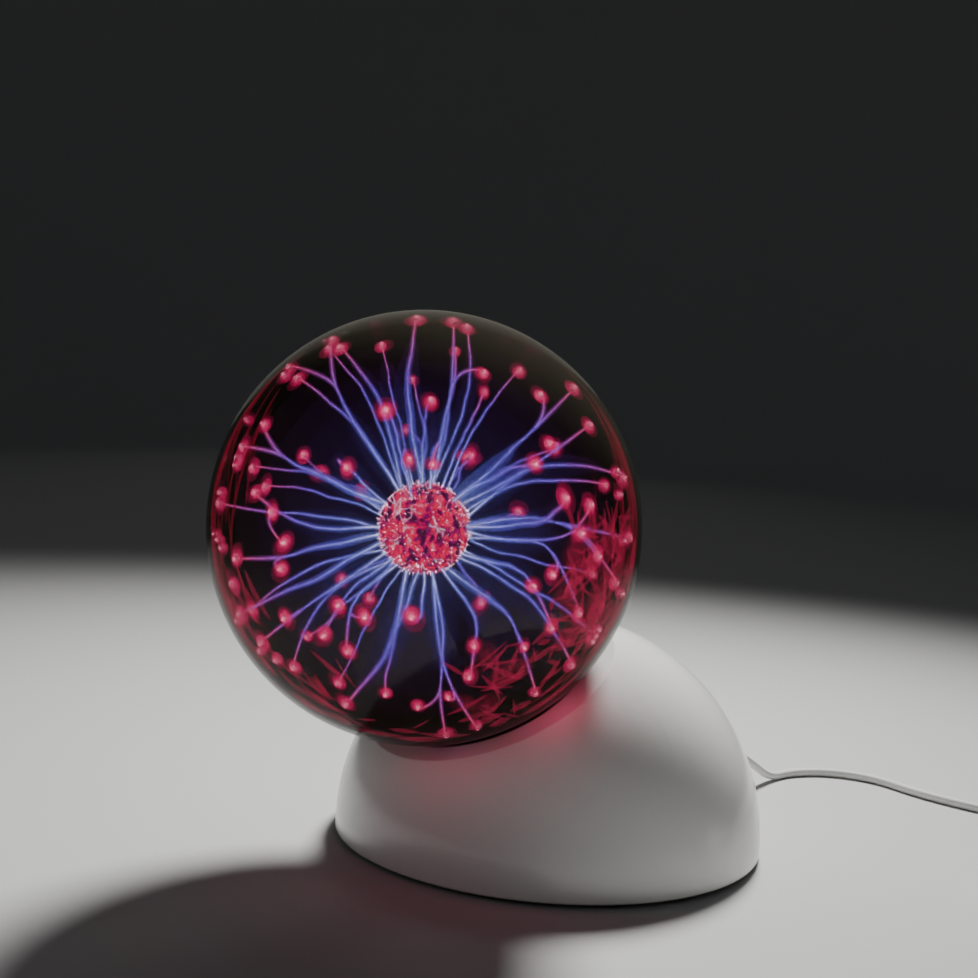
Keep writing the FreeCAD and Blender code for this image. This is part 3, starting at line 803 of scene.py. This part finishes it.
@dataclass
class Plasma:
    """The filaments, their soft bands, their tips on the glass and the glow that creeps along it."""

    globe: Ball = GLOBE
    bulb: Ball = BULB
    lean: float = math.radians(28.0)  # the stem's angle from the vertical
    seed: int = 7
    body: str = "base"
    wall: float = 0.0014  # the glass, and a hair of room inside it
    far_count: int = 34  # filaments scattered over the far half
    cloud_count: int = 110  # short smears low on the right
    cloud_every: int = 5  # how many of them go by for each cloud
    loose_count: int = 20  # spots on the glass with no filament
    streak_count: int = 64
    smear_count: int = 90
    bead_count: int = 1600
    core_radius: float = 0.00017  # of a filament of width 1
    rise: float = 0.0026  # how far the hot gas bows a level filament upwards
    stem_shadow: float = 0.86  # cosine of the angle from the stem that far tips keep clear of
    steps: int = 30  # points along a filament
    arc_steps: int = 14  # points along a smudge

    def __post_init__(self) -> None:
        """Set out the globe's middle, the front quarter's directions, the random numbers and the piles."""
        self.centre = np.array(self.globe.centre)
        self.right, self.up, self.toward = FRONT.right, FRONT.up, FRONT.toward
        self.stem = np.array([0.0, math.sin(self.lean), -math.cos(self.lean)])
        self.rng = np.random.default_rng(self.seed)
        self.inside = self.globe.radius - self.wall
        self.piles: dict[str, MeshPile] = defaultdict(MeshPile)

    def direction(self, spot: Heading) -> np.ndarray:
        """The direction from the globe's middle to a spot on it, worked out for the eye's distance.

        Args:
            spot: the spot, as seen from the front quarter.

        Returns:
            A unit vector.
        """
        turn = math.radians(spot.clock) - FRONT.roll
        flat = math.sin(turn) * self.right + math.cos(turn) * self.up
        spread, eye = spot.spread, FRONT.distance
        for _ in range(8):
            depth = self.inside * spot.side.value * math.sqrt(1 - spread**2)
            spread = min(0.995, spot.spread * self.globe.radius * (eye - depth) / (eye * self.inside))
        return spread * flat + spot.side.value * math.sqrt(1 - spread**2) * self.toward

    def trunk(self, tip: np.ndarray, filament: Filament) -> np.ndarray:
        """The curved path from the bulb to a point of the glass.

        Args:
            tip: the direction of the point.
            filament: the filament, for its sway.

        Returns:
            The path's points in metres, one a row.
        """
        share = np.linspace(0, 1, self.steps)[:, None]
        facing = max(0.0, float(np.dot(tip, self.toward)))
        root = unit(tip - 0.78 * facing * self.toward + self.rng.normal(0, 0.07, 3))
        heading = root * (1 - share**0.8) + tip * share**0.8
        heading /= np.linalg.norm(heading, axis=1)[:, None]
        radius = self.bulb.radius + (self.inside - self.bulb.radius) * share
        path = self.centre + heading * radius
        bow = np.sin(math.pi * share)
        beside = unit(np.cross(tip, self.toward) + 1e-6)
        level = math.sqrt(max(0.0, 1 - tip[2] ** 2))
        path = path + bow * (beside * filament.sway * MM + np.array([0, 0, self.rise * level]))
        for waves, most in RIPPLES:
            phase = self.rng.uniform(0, 2 * math.pi)
            across = unit(np.cross(tip, self.rng.normal(0, 1, 3)))
            ripple = np.sin(share * waves * math.pi + phase) * bow
            path = path + ripple * across * self.rng.uniform(0.3, 1.0) * most
        return path

    def branch(self, start: np.ndarray, push: np.ndarray, tip: np.ndarray) -> np.ndarray:
        """The curved path from a fork to a point of the glass.

        Args:
            start: the fork.
            push: the direction in which the trunk arrives there.
            tip: the direction of the point.

        Returns:
            The path's points in metres, one a row.
        """
        end = self.centre + tip * self.inside
        share = np.linspace(0, 1, self.steps // 2)[:, None]
        control = start + push * np.linalg.norm(end - start) * 0.30
        return (1 - share) ** 2 * start + 2 * share * (1 - share) * control + share**2 * end

    def light(self, path: np.ndarray, width: float) -> None:
        """Lay the bright core, its sheath and its veil along a path.

        Args:
            path: the filament's points.
            width: how thick it is, against the usual filament.
        """
        share = np.linspace(0, 1, len(path))
        core = self.core_radius * width * (1.1 - 0.3 * share)
        swell = 1 + 0.8 * np.sin(math.pi * share)
        self.piles["core"].tube(path, core, 6)
        self.piles["sheath"].tube(path, core * 1.7 * swell + 0.00010, 8)
        self.piles["veil"].tube(path, core * 3.0 * swell + 0.00022, 8)

    def touch(
        self, tip: np.ndarray, size: float, layers: Sequence[tuple[str, float]] = SPOT_LAYERS
    ) -> None:
        """Lay the spot of light where a tip meets the glass.

        Args:
            tip: the direction of the tip.
            size: how large the spot is.
            layers: the piles of its layers with their radii, from its heart outwards.
        """
        across = unit(np.cross(tip, self.rng.normal(0, 1, 3)))
        if self.rng.random() < 0.6:
            across = unit(np.cross(tip, [0.0, 0.0, 1.0]) * 0.25 + np.array([0, 0, 1.0]) - tip * tip[2])
        other = np.cross(tip, across)
        long = self.rng.uniform(1.0, 1.8)
        for pile, half in layers:
            depth = min(half * 0.9, 0.0021 - 0.0010 * abs(float(np.dot(tip, self.toward))))
            stretch = 1 + (long - 1) * (half / SPOT_LAYERS[-1][1])
            drift = (across * self.rng.normal() + other * self.rng.normal()) * half * 0.14
            spot = self.centre + unit(tip * self.inside + drift) * (self.inside - depth)
            axes = np.array([across * half * size * stretch, other * half * size, tip * depth])
            self.piles[pile].pebble(spot, axes)

    def grow(self, filament: Filament) -> None:
        """Build one filament from the bulb to its tips.

        Args:
            filament: the filament.
        """
        tips = [self.direction(spot) for spot in filament.tips]
        middle = unit(sum(tips)) if len(tips) > 1 else tips[0]
        path = self.trunk(middle, filament)
        if len(tips) == 1:
            self.light(path, filament.width)
            self.touch(unit(path[-1] - self.centre), filament.tip_size)
        else:
            split = int(filament.fork * (self.steps - 1))
            stem = path[: split + 1]
            self.light(stem, filament.width)
            push = unit(path[split] - path[split - 2])
            for tip in tips:
                self.light(self.branch(path[split], push, tip), filament.width * 0.72)
                self.touch(tip, filament.tip_size * 0.85)
            path = stem
        haze = path[: int(len(path) * 0.85)]
        wide = self.rng.uniform(0.0022, 0.0042) * (0.35 + np.sin(math.pi * np.linspace(0.1, 0.95, len(haze))))
        self.piles["haze"].tube(haze, wide, 12)
        if filament.band:
            reach = path[: int(len(path) * 0.92)]
            share = np.linspace(0, 1, len(reach))
            radii = filament.band * MM * (0.35 + 0.65 * np.sin(math.pi * (0.15 + 0.75 * share)))
            radii = radii * (1 - share**3) + 0.00005
            self.piles["band"].tube(reach, radii, 12)

    def scatter(self) -> None:
        """Fill the far half with evenly scattered filaments, clear of the stem."""
        for number in range(self.far_count * 2):
            height = 1 - 2 * (number + 0.5) / (self.far_count * 2)
            turn = number * GOLDEN_TURN
            flat = math.sqrt(1 - height**2)
            way = flat * math.cos(turn) * self.right + height * self.up + flat * math.sin(turn) * self.toward
            way = unit(way + self.rng.normal(0, 0.08, 3))
            if np.dot(way, self.toward) > -0.12 or np.dot(way, self.stem) > self.stem_shadow:
                continue
            filament = Filament((), sway=self.rng.uniform(-4, 4), width=self.rng.uniform(0.6, 1.0))
            path = self.trunk(way, filament)
            self.light(path, filament.width)
            self.touch(unit(path[-1] - self.centre), self.rng.uniform(0.8, 1.3))

    def clouds(self) -> None:
        """Lay soft clouds and smears of red light low on the right, and loose spots along both sides."""
        for number in range(self.cloud_count):
            spot = near(self.rng.uniform(86, 168), math.sqrt(self.rng.uniform(0.45, 0.96)))
            tip = self.direction(spot)
            along = unit(np.cross(tip, self.rng.normal(0, 1, 3)))
            swing = self.rng.uniform(0.03, 0.12)
            self.smudge(tip, along, swing, self.rng.uniform(0.0003, 0.0009), "smear")
            if number % self.cloud_every == 0:
                self.touch(tip, self.rng.uniform(0.5, 0.9), CLOUD_LAYERS)
        for _ in range(self.loose_count):
            clock = self.rng.uniform(58, 128) * self.rng.choice((-1.0, 1.0)) + self.rng.normal(0, 12)
            tip = self.direction(near(clock, self.rng.uniform(0.93, 0.985)))
            self.touch(tip, self.rng.uniform(0.5, 1.0))

    def streaks(self) -> None:
        """Lay faint upright streaks of red light on the glass at both sides."""
        for number in range(self.streak_count):
            side = -1.0 if number % 2 else 1.0
            depth = self.rng.normal(0, 0.30)
            height = self.rng.uniform(-0.60, 0.50)
            flat = math.sqrt(max(0.05, 1 - height**2 - depth**2))
            start = unit(side * flat * self.right + depth * self.toward + np.array([0.0, 0.0, height]))
            along = np.array([0.0, 0.0, 1.0]) + self.rng.normal(0, 0.12, 3)
            along = unit(along - start * np.dot(along, start))
            swing = self.rng.uniform(0.12, 0.42)
            self.smudge(start, along, swing, self.rng.uniform(0.00015, 0.00050), "creep")

    def smears(self) -> None:
        """Lay short smears of red light along the globe's lower outline."""
        for _ in range(self.smear_count):
            clock = math.radians(self.rng.uniform(88, 250))
            spread = self.rng.uniform(0.84, 0.992)
            flat = math.sin(clock) * self.right + math.cos(clock) * self.up
            front = math.copysign(math.sqrt(1 - spread**2), self.rng.uniform(-0.5, 1.0))
            start = unit(spread * flat + front * self.toward)
            if np.dot(start, self.stem) > self.stem_shadow:
                continue
            along = np.cross(start, self.toward) + self.rng.normal(0, 0.35, 3)
            along = unit(along - start * np.dot(along, start))
            swing = self.rng.uniform(0.04, 0.15)
            self.smudge(start, along, swing, self.rng.uniform(0.0003, 0.0010), "smear")

    def smudge(self, start: np.ndarray, along: np.ndarray, swing: float, thick: float, pile: str) -> None:
        """Lay one thin arc of light along the inside of the glass.

        Args:
            start: the direction of its middle.
            along: the direction in which it runs.
            swing: half its angle, in radians.
            thick: its radius in metres.
            pile: the pile that it goes in.
        """
        angles = np.linspace(-swing, swing, self.arc_steps)[:, None]
        arc = np.cos(angles) * start + np.sin(angles) * along
        radii = thick * np.cos(np.linspace(-1.45, 1.45, self.arc_steps)) + 0.00005
        self.piles[pile].tube(self.centre + arc * (self.inside - thick - 0.0001), radii, 6)

    def fringe(self) -> None:
        """Cover the bulb with short beads of light."""
        for number in range(self.bead_count):
            height = 1 - 2 * (number + 0.5) / self.bead_count
            flat = math.sqrt(1 - height**2)
            turn = number * GOLDEN_TURN
            way = np.array([flat * math.cos(turn), flat * math.sin(turn), height])
            way = unit(way + self.rng.normal(0, 0.09, 3))
            if np.dot(way, self.stem) > 0.94 or self.rng.random() < 0.35:
                continue
            long = self.rng.uniform(0.0003, 0.0014)
            start = self.centre + way * (self.bulb.radius - 0.0001)
            path = np.linspace(start, start + way * long, 3)
            self.piles["beads"].tube(path, np.array([0.00010, 0.00008, 0.00003]), 5)

    def shells(self) -> None:
        """Lay a thin bright aura on the bulb, and nested shells that fill the gas with a faint glow."""
        for growth in AURA_GROWTH:
            self.piles["aura"].pebble(self.centre, (self.bulb.radius + growth) * np.eye(3), 23, 48)
        for share in GAS_SHELLS:
            self.piles["gas"].pebble(self.centre, self.inside * share * np.eye(3), 31, 64)

    def build(self) -> None:
        """Make every piece of the light."""
        for filament in FILAMENTS:
            self.grow(filament)
        self.scatter()
        self.clouds()
        self.streaks()
        self.smears()
        self.fringe()
        self.shells()
        for name, finish in self.finishes().items():
            piece = self.piles[name].piece("plasma_" + name, finish, self.body)
            piece.visible_diffuse = False
            LOG.info("plasma_%s: %d faces", name, len(piece.data.polygons))

    def finishes(self) -> dict[str, Glow]:
        """The light's colours, from the bulb outwards.

        Returns:
            The finish of each pile, by the pile's name.
        """
        here, reach = self.globe.centre, self.globe.radius
        cool = (
            (0.20, (0.90, 0.82, 1.0)),
            (0.30, (0.42, 0.42, 0.85)),
            (0.45, (0.22, 0.23, 0.60)),
            (0.70, (0.19, 0.12, 0.50)),
            (0.88, (0.38, 0.10, 0.31)),
            (0.97, (0.65, 0.13, 0.20)),
        )
        deep = (
            (0.20, (0.26, 0.32, 0.90)),
            (0.40, (0.13, 0.13, 0.72)),
            (0.70, (0.15, 0.07, 0.62)),
            (0.88, (0.42, 0.05, 0.36)),
            (0.97, (0.9, 0.05, 0.16)),
        )
        heart = ((0.0, (1.0, 0.42, 0.56)), (1.0, (1.0, 0.44, 0.56)))
        bead = ((0.0, (1.0, 0.56, 0.76)), (1.0, (1.0, 0.56, 0.76)))
        blush = ((0.0, (1.0, 0.14, 0.32)), (1.0, (1.0, 0.15, 0.32)))
        bloom = ((0.0, (1.0, 0.01, 0.17)), (1.0, (1.0, 0.015, 0.17)))
        rose = ((0.0, (0.9, 0.02, 0.13)), (1.0, (0.95, 0.03, 0.14)))
        dusk = ((0.0, (0.8, 0.01, 0.09)), (1.0, (0.9, 0.012, 0.09)))
        return {
            "core": Glow("core_light", cool, 14.0, 0.72, here, reach),
            "sheath": Glow("sheath_light", deep, 6.5, 0.30, here, reach),
            "veil": Glow("veil_light", deep, 5.0, 0.12, here, reach),
            "band": Glow("band_light", deep, 5.0, 0.14, here, reach),
            "haze": Glow("haze_light", deep, 1.6, 0.06, here, reach),
            "heart": Glow("heart_light", heart, 12.0, 0.60, here, reach),
            "blush": Glow("blush_light", blush, 6.5, 0.28, here, reach),
            "bloom": Glow("bloom_light", bloom, 5.5, 0.19, here, reach),
            "mist": Glow("mist_light", bloom, 3.5, 0.08, here, reach),
            "cloud": Glow("cloud_light", rose, 2.2, 0.03, here, reach),
            "beads": Glow("bead_light", bead, 26.0, 0.45, here, reach),
            "aura": Glow("aura_light", bloom, 2.0, 0.07, here, reach),
            "creep": Glow("creep_light", dusk, 2.4, 0.20, here, reach),
            "smear": Glow("smear_light", rose, 4.0, 0.17, here, reach),
            "gas": Glow("gas_light", deep, 1.6, 0.02, here, reach),
        }


# ---------------------------------------------------------------- the lead


@dataclass
class Lead:
    """The thin white lead: from its plug, along the table, round a tied coil and into the wall adapter."""

    thickness: float = 0.0035
    length: float = 1.27
    coil_centre: tuple[float, float] = (0.122, 0.190)
    turn_radii: tuple[float, ...] = (0.023, 0.0195, 0.016, 0.016, 0.016, 0.0195, 0.0195, 0.023, 0.023)
    turn_heights: tuple[float, ...] = (
        0.00265, 0.00265, 0.00265, 0.00615, 0.00965, 0.00965, 0.00615, 0.00615, 0.00965,
    )
    enter: float = math.radians(95)
    leave: float = math.radians(45)
    points_per_turn: int = 24
    step_at: float = 0.86  # the share of a turn after which it moves to the next turn's place
    body: str = "lead"
    out: tuple[tuple[float, float, float], ...] = (
        (-0.0140, 0.1297, 0.0171),
        (-0.0140, 0.1415, 0.0171),
        (-0.0152, 0.1545, 0.0094),
        (-0.0180, 0.1675, 0.00175),
        (-0.0200, 0.1830, 0.00175),
        (-0.0130, 0.2000, 0.00175),
        (0.0040, 0.2110, 0.00175),
        (0.0260, 0.2100, 0.00175),
        (0.0480, 0.2140, 0.00175),
        (0.0700, 0.2220, 0.00175),
        (0.0900, 0.2230, 0.00175),
        (0.1060, 0.2170, 0.00265),
    )
    tail: tuple[tuple[float, float, float], ...] = (
        (0.1383, 0.2063, 0.00965),
        (0.1465, 0.2005, 0.0060),
        (0.1510, 0.1875, 0.0045),
        (0.1510, 0.1730, 0.0045),
    )

    def coil(self) -> list[tuple[float, float, float]]:
        """The points of the coil's turns, which wind clockwise as seen from above.

        Returns:
            Points in metres.
        """
        turns = len(self.turn_radii)
        sweep = self.enter - self.leave + 2 * math.pi * (turns - 1)
        count = round(sweep / (2 * math.pi) * self.points_per_turn)
        wide = 1 / math.cos(sweep / count / 2)
        points = []
        for number in range(count):
            place = number / count * turns
            turn = int(place)
            after = min(turn + 1, turns - 1)
            step = max(0.0, (place - turn - self.step_at) / (1 - self.step_at))
            ease = step * step * (3 - 2 * step)
            radius = self.turn_radii[turn] * (1 - ease) + self.turn_radii[after] * ease
            height = self.turn_heights[turn] * (1 - ease) + self.turn_heights[after] * ease
            angle = self.enter - sweep * number / count
            x = self.coil_centre[0] + radius * wide * math.cos(angle)
            y = self.coil_centre[1] + radius * wide * math.sin(angle)
            points.append((x, y, height))
        return points

    def build(self) -> None:
        """Make the lead as one smooth curve and log how many points it has."""
        curve = bpy.data.curves.new("lead", "CURVE")
        curve.dimensions = "3D"
        curve.bevel_depth = self.thickness / 2
        curve.bevel_resolution = 5
        curve.resolution_u = 6
        curve.use_fill_caps = True
        points = [*self.out, *self.coil(), *self.tail]
        spline = curve.splines.new("NURBS")
        spline.points.add(len(points) - 1)
        for point, place in zip(spline.points, points):
            point.co = (*place, 1.0)
        spline.order_u = 3
        spline.use_endpoint_u = True
        lead = bpy.data.objects.new("lead", curve)
        bpy.context.scene.collection.objects.link(lead)
        dress(lead, Moulded("white_lead_sheath", (0.74, 0.74, 0.72), 0.38, 700.0, 0.00003))
        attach(lead, self.body)
        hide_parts("lead_cord", "lead_coil", "lead_tail")
        self.out[0]
        LOG.info("lead: %d points", len(points))


# ---------------------------------------------------------------- the base and the works


SLOT_FINISHES: dict[str, Finish] = {
    # the glass slots are also tinted dark as painted shade
    "clear_glass": ShadeTintedGlass("clear_glass_wall", (0.006, 0.006, 0.007), 0.46),
    "inner_glass": ShadeTintedGlass("inner_glass_wall", (0.02, 0.02, 0.02), 0.30, 0.4),
    "steel_wool": Metal("wool_fibres", (0.45, 0.43, 0.42), 0.45, (900.0, 900.0, 900.0)),
    "graphite": SoftRubber("graphite_paste", (0.03, 0.03, 0.032)),
    "red_silicone": Moulded("silicone_lead", (0.50, 0.03, 0.03), 0.45),
    "black_rubber": SoftRubber("black_rubber_parts", (0.018, 0.018, 0.019)),
    "white_shell": ShellGloss("white_shell_plastic"),
    "white_cover": Moulded("white_cover_plastic", (0.70, 0.70, 0.68), 0.5, 1400.0, 0.00004),
    "zinc_steel": Metal("zinc_plated_steel", (0.62, 0.63, 0.66), 0.32),
    "green_board": CircuitBoard("green_circuit_board"),
    "ferrite": Ferrite("sintered_ferrite"),
    "bobbin_plastic": Moulded("bobbin_nylon", (0.55, 0.50, 0.40), 0.45),
    # the darker second colour of each winding is painted shade in its grooves
    "copper_wire": Windings("lacquered_wire", (0.75, 0.30, 0.12), (0.16, 0.05, 0.02), 0.0006),
    "winding_tape": Windings("winding_tape_wraps", (0.70, 0.52, 0.08), (0.42, 0.28, 0.04), 0.0030, 0.4),
    "aluminium": Metal("extruded_aluminium", (0.78, 0.79, 0.80), 0.3, (2500.0, 2500.0, 60.0)),
    "chip_plastic": Moulded("chip_epoxy", (0.03, 0.03, 0.032), 0.55, 3000.0, 0.00002),
    "can_sleeve": Moulded("can_shrink_sleeve", (0.03, 0.05, 0.16), 0.3),
    "film_plastic": Moulded("film_dipped_epoxy", (0.60, 0.16, 0.03), 0.3),
    "resistor_paint": Moulded("resistor_beige_paint", (0.62, 0.52, 0.33), 0.4),
    "tin_plate": Metal("tinned_plate", (0.72, 0.70, 0.66), 0.35),
    "jack_plastic": Moulded("jack_black_plastic", (0.02, 0.02, 0.021), 0.4, 1600.0),
    "nickel": Metal("nickel_plate", (0.70, 0.67, 0.61), 0.2),
    "knob_plastic": Moulded("slider_black_plastic", (0.025, 0.025, 0.026), 0.42, 1600.0, 0.00003),
    "white_lead": Moulded("white_soft_plastic", (0.72, 0.72, 0.70), 0.42, 900.0, 0.00003),
    "adapter_plastic": Moulded("adapter_white_plastic", (0.74, 0.74, 0.72), 0.42, 1300.0, 0.00004),
    "tie_rubber": SoftRubber("tie_black_rubber", (0.03, 0.03, 0.03)),
}


PART_FINISHES: dict[str, Finish] = {
    # the globe's dark olive tint and its cover are painted shade, which keeps it dark inside
    "globe_glass": ShadeTintedGlass("smoked_glass", (0.022, 0.019, 0.014), 0.62),
    "inner_bulb": HotWool("lit_bulb", GLOBE.centre, BULB.radius, 5.0),
}


@dataclass
class Works:
    """Every part that keeps its own shape, each dressed as itself or by its material slot."""

    def build(self) -> None:
        """Dress the parts."""
        for name, node in sorted(frame["nodes"].items()):
            finish = PART_FINISHES.get(name) or SLOT_FINISHES[self.slot_of(name)]
            dress(node, finish)
            LOG.info("%s: %s", name, finish.name)

    def slot_of(self, name: str) -> str:
        """The material slot that the record gives a part.

        Args:
            name: the part's name.

        Returns:
            The slot's name.
        """
        return next(p["material_slot"] for p in frame["record"]["subparts"] if p["node"] == name)


# ---------------------------------------------------------------- the studio


@dataclass(frozen=True)
class Softbox:
    """A round soft light that looks at the globe."""

    name: str
    along: Place  # its direction from the globe as right, up and towards the eye
    distance: float
    size: float
    power: float  # watts
    tint: Colour
    mirrored: bool = False  # whether glossy surfaces mirror it
    spread: float = math.radians(75)

    def hang(self) -> None:
        """Make the light."""
        way = Vector(unit(FRONT.way(self.along)))
        light = bpy.data.lights.new(self.name, "AREA")
        light.shape = "DISK"
        light.size = self.size
        light.spread = self.spread
        light.energy = self.power
        light.color = self.tint
        lamp = bpy.data.objects.new(self.name, light)
        lamp.location = Vector(GLOBE.centre) + way * self.distance
        lamp.rotation_euler = (-way).to_track_quat("-Z", "Y").to_euler()
        lamp.visible_glossy = self.mirrored
        bpy.context.scene.collection.objects.link(lamp)


@dataclass(frozen=True)
class Ember:
    """A small red light inside the globe, whose glow falls on the base."""

    name: str
    offset: Place  # its place from the globe's middle as right, up and towards the eye
    power: float = 0.035  # watts
    radius: float = 0.012
    tint: Colour = (1.0, 0.10, 0.20)

    def hang(self) -> None:
        """Make the light."""
        light = bpy.data.lights.new(self.name, "POINT")
        light.energy = self.power
        light.color = self.tint
        light.shadow_soft_size = self.radius
        lamp = bpy.data.objects.new(self.name, light)
        lamp.location = Vector(GLOBE.centre) + Vector(FRONT.way(self.offset))
        lamp.visible_glossy = False
        bpy.context.scene.collection.objects.link(lamp)


LIGHTS: tuple[Softbox | Ember, ...] = (
    Softbox("key", (0.40, 1.25, -0.9), 1.1, 0.30, 6.5, (1.0, 0.99, 0.97)),
    Softbox("rim", (-0.10, 0.75, -1.5), 1.7, 1.4, 0.22, (1.0, 0.98, 0.86), mirrored=True),
    Softbox("fill", (-0.9, 0.7, 1.2), 1.6, 0.9, 0.2, (0.93, 0.96, 1.0)),
    Ember("glow_low", (-0.004, -0.058, 0.035)),
    Ember("glow_side", (0.046, -0.046, 0.022)),
)


@dataclass
class Studio:
    """A pale round floor that rises into a wall, soft lights and the camera."""

    flat: float = 1.7  # radius of the flat floor
    inner: float = 0.4  # radius of the floor's middle
    bend: float = 1.0  # radius of the bend between floor and wall
    bend_steps: int = 12
    sides: int = 96
    wall: float = 2.6  # height of the wall
    paper: Colour = (0.47, 0.47, 0.47)
    sky_tint: Colour = (0.92, 0.95, 1.0)
    sky_strength: float = 0.06
    lens: float = 59.5  # millimetres
    sensor: float = 36.0  # millimetres
    shift: tuple[float, float] = (0.0665, 0.040)
    clear_depth: int = 96  # see-through surfaces that one ray may cross

    def profile(self) -> list[tuple[float, float]]:
        """The outline that is turned into the floor and the wall.

        Returns:
            Radii and heights, from the middle outwards.
        """
        outline = [(0.0, 0.0), (self.inner, 0.0), (self.flat, 0.0)]
        for part in range(1, self.bend_steps + 1):
            angle = math.pi / 2 * part / self.bend_steps
            outline.append((self.flat + self.bend * math.sin(angle), self.bend * (1 - math.cos(angle))))
        outline.append((self.flat + self.bend, self.wall))
        return outline

    def floor(self) -> None:
        """Make the floor and wall as one smooth surface."""
        outline = self.profile()
        points, faces = [(0.0, 0.0, 0.0)], []
        for radius, height in outline[1:]:
            for side in range(self.sides):
                angle = 2 * math.pi * side / self.sides
                points.append((radius * math.cos(angle), radius * math.sin(angle), height))
        faces += [(0, 1 + side, 1 + (side + 1) % self.sides) for side in range(self.sides)]
        for row in range(len(outline) - 2):
            first = 1 + row * self.sides
            for side in range(self.sides):
                a, b = first + side, first + (side + 1) % self.sides
                faces.append((a, a + self.sides, b + self.sides, b))
        mesh = bpy.data.meshes.new("floor")
        mesh.from_pydata(points, [], faces)
        mesh.shade_smooth()
        floor = bpy.data.objects.new("floor", mesh)
        bpy.context.scene.collection.objects.link(floor)
        dress(floor, StudioPaper("studio_paper", self.paper))
        LOG.info("floor: %d faces", len(faces))

    def sky(self) -> None:
        """Give the room a soft even light."""
        world = bpy.data.worlds.new("room")
        bpy.context.scene.world = world
        world.use_nodes = True
        background = world.node_tree.nodes["Background"]
        background.inputs["Color"].default_value = (*self.sky_tint, 1.0)
        background.inputs["Strength"].default_value = self.sky_strength

    def camera(self) -> None:
        """Stand the camera at the front quarter."""
        data = bpy.data.cameras.new("camera")
        data.lens = self.lens
        data.sensor_width = self.sensor
        data.shift_x, data.shift_y = self.shift
        data.clip_start = 0.01
        camera = bpy.data.objects.new("camera", data)
        way = Vector(FRONT.toward)
        camera.location = Vector(GLOBE.centre) + way * FRONT.distance
        turn = (-way).to_track_quat("-Z", "Y") @ Quaternion((0.0, 0.0, 1.0), FRONT.roll)
        camera.rotation_euler = turn.to_euler()
        bpy.context.scene.collection.objects.link(camera)
        bpy.context.scene.camera = camera

    def build(self) -> None:
        """Set up the whole studio."""
        self.floor()
        self.sky()
        for light in LIGHTS:
            light.hang()
            LOG.info("light: %s", light.name)
        self.camera()
        bpy.context.scene.cycles.transparent_max_bounces = self.clear_depth


# ---------------------------------------------------------------- all of it


def main() -> None:
    """Build the studio, the lead, the parts and the light in the globe."""
    logging.basicConfig(level=logging.INFO, format="%(message)s")
    Studio().build()
    Lead().build()
    Works().build()
    Plasma().build()


if __name__ == "__main__":
    main()
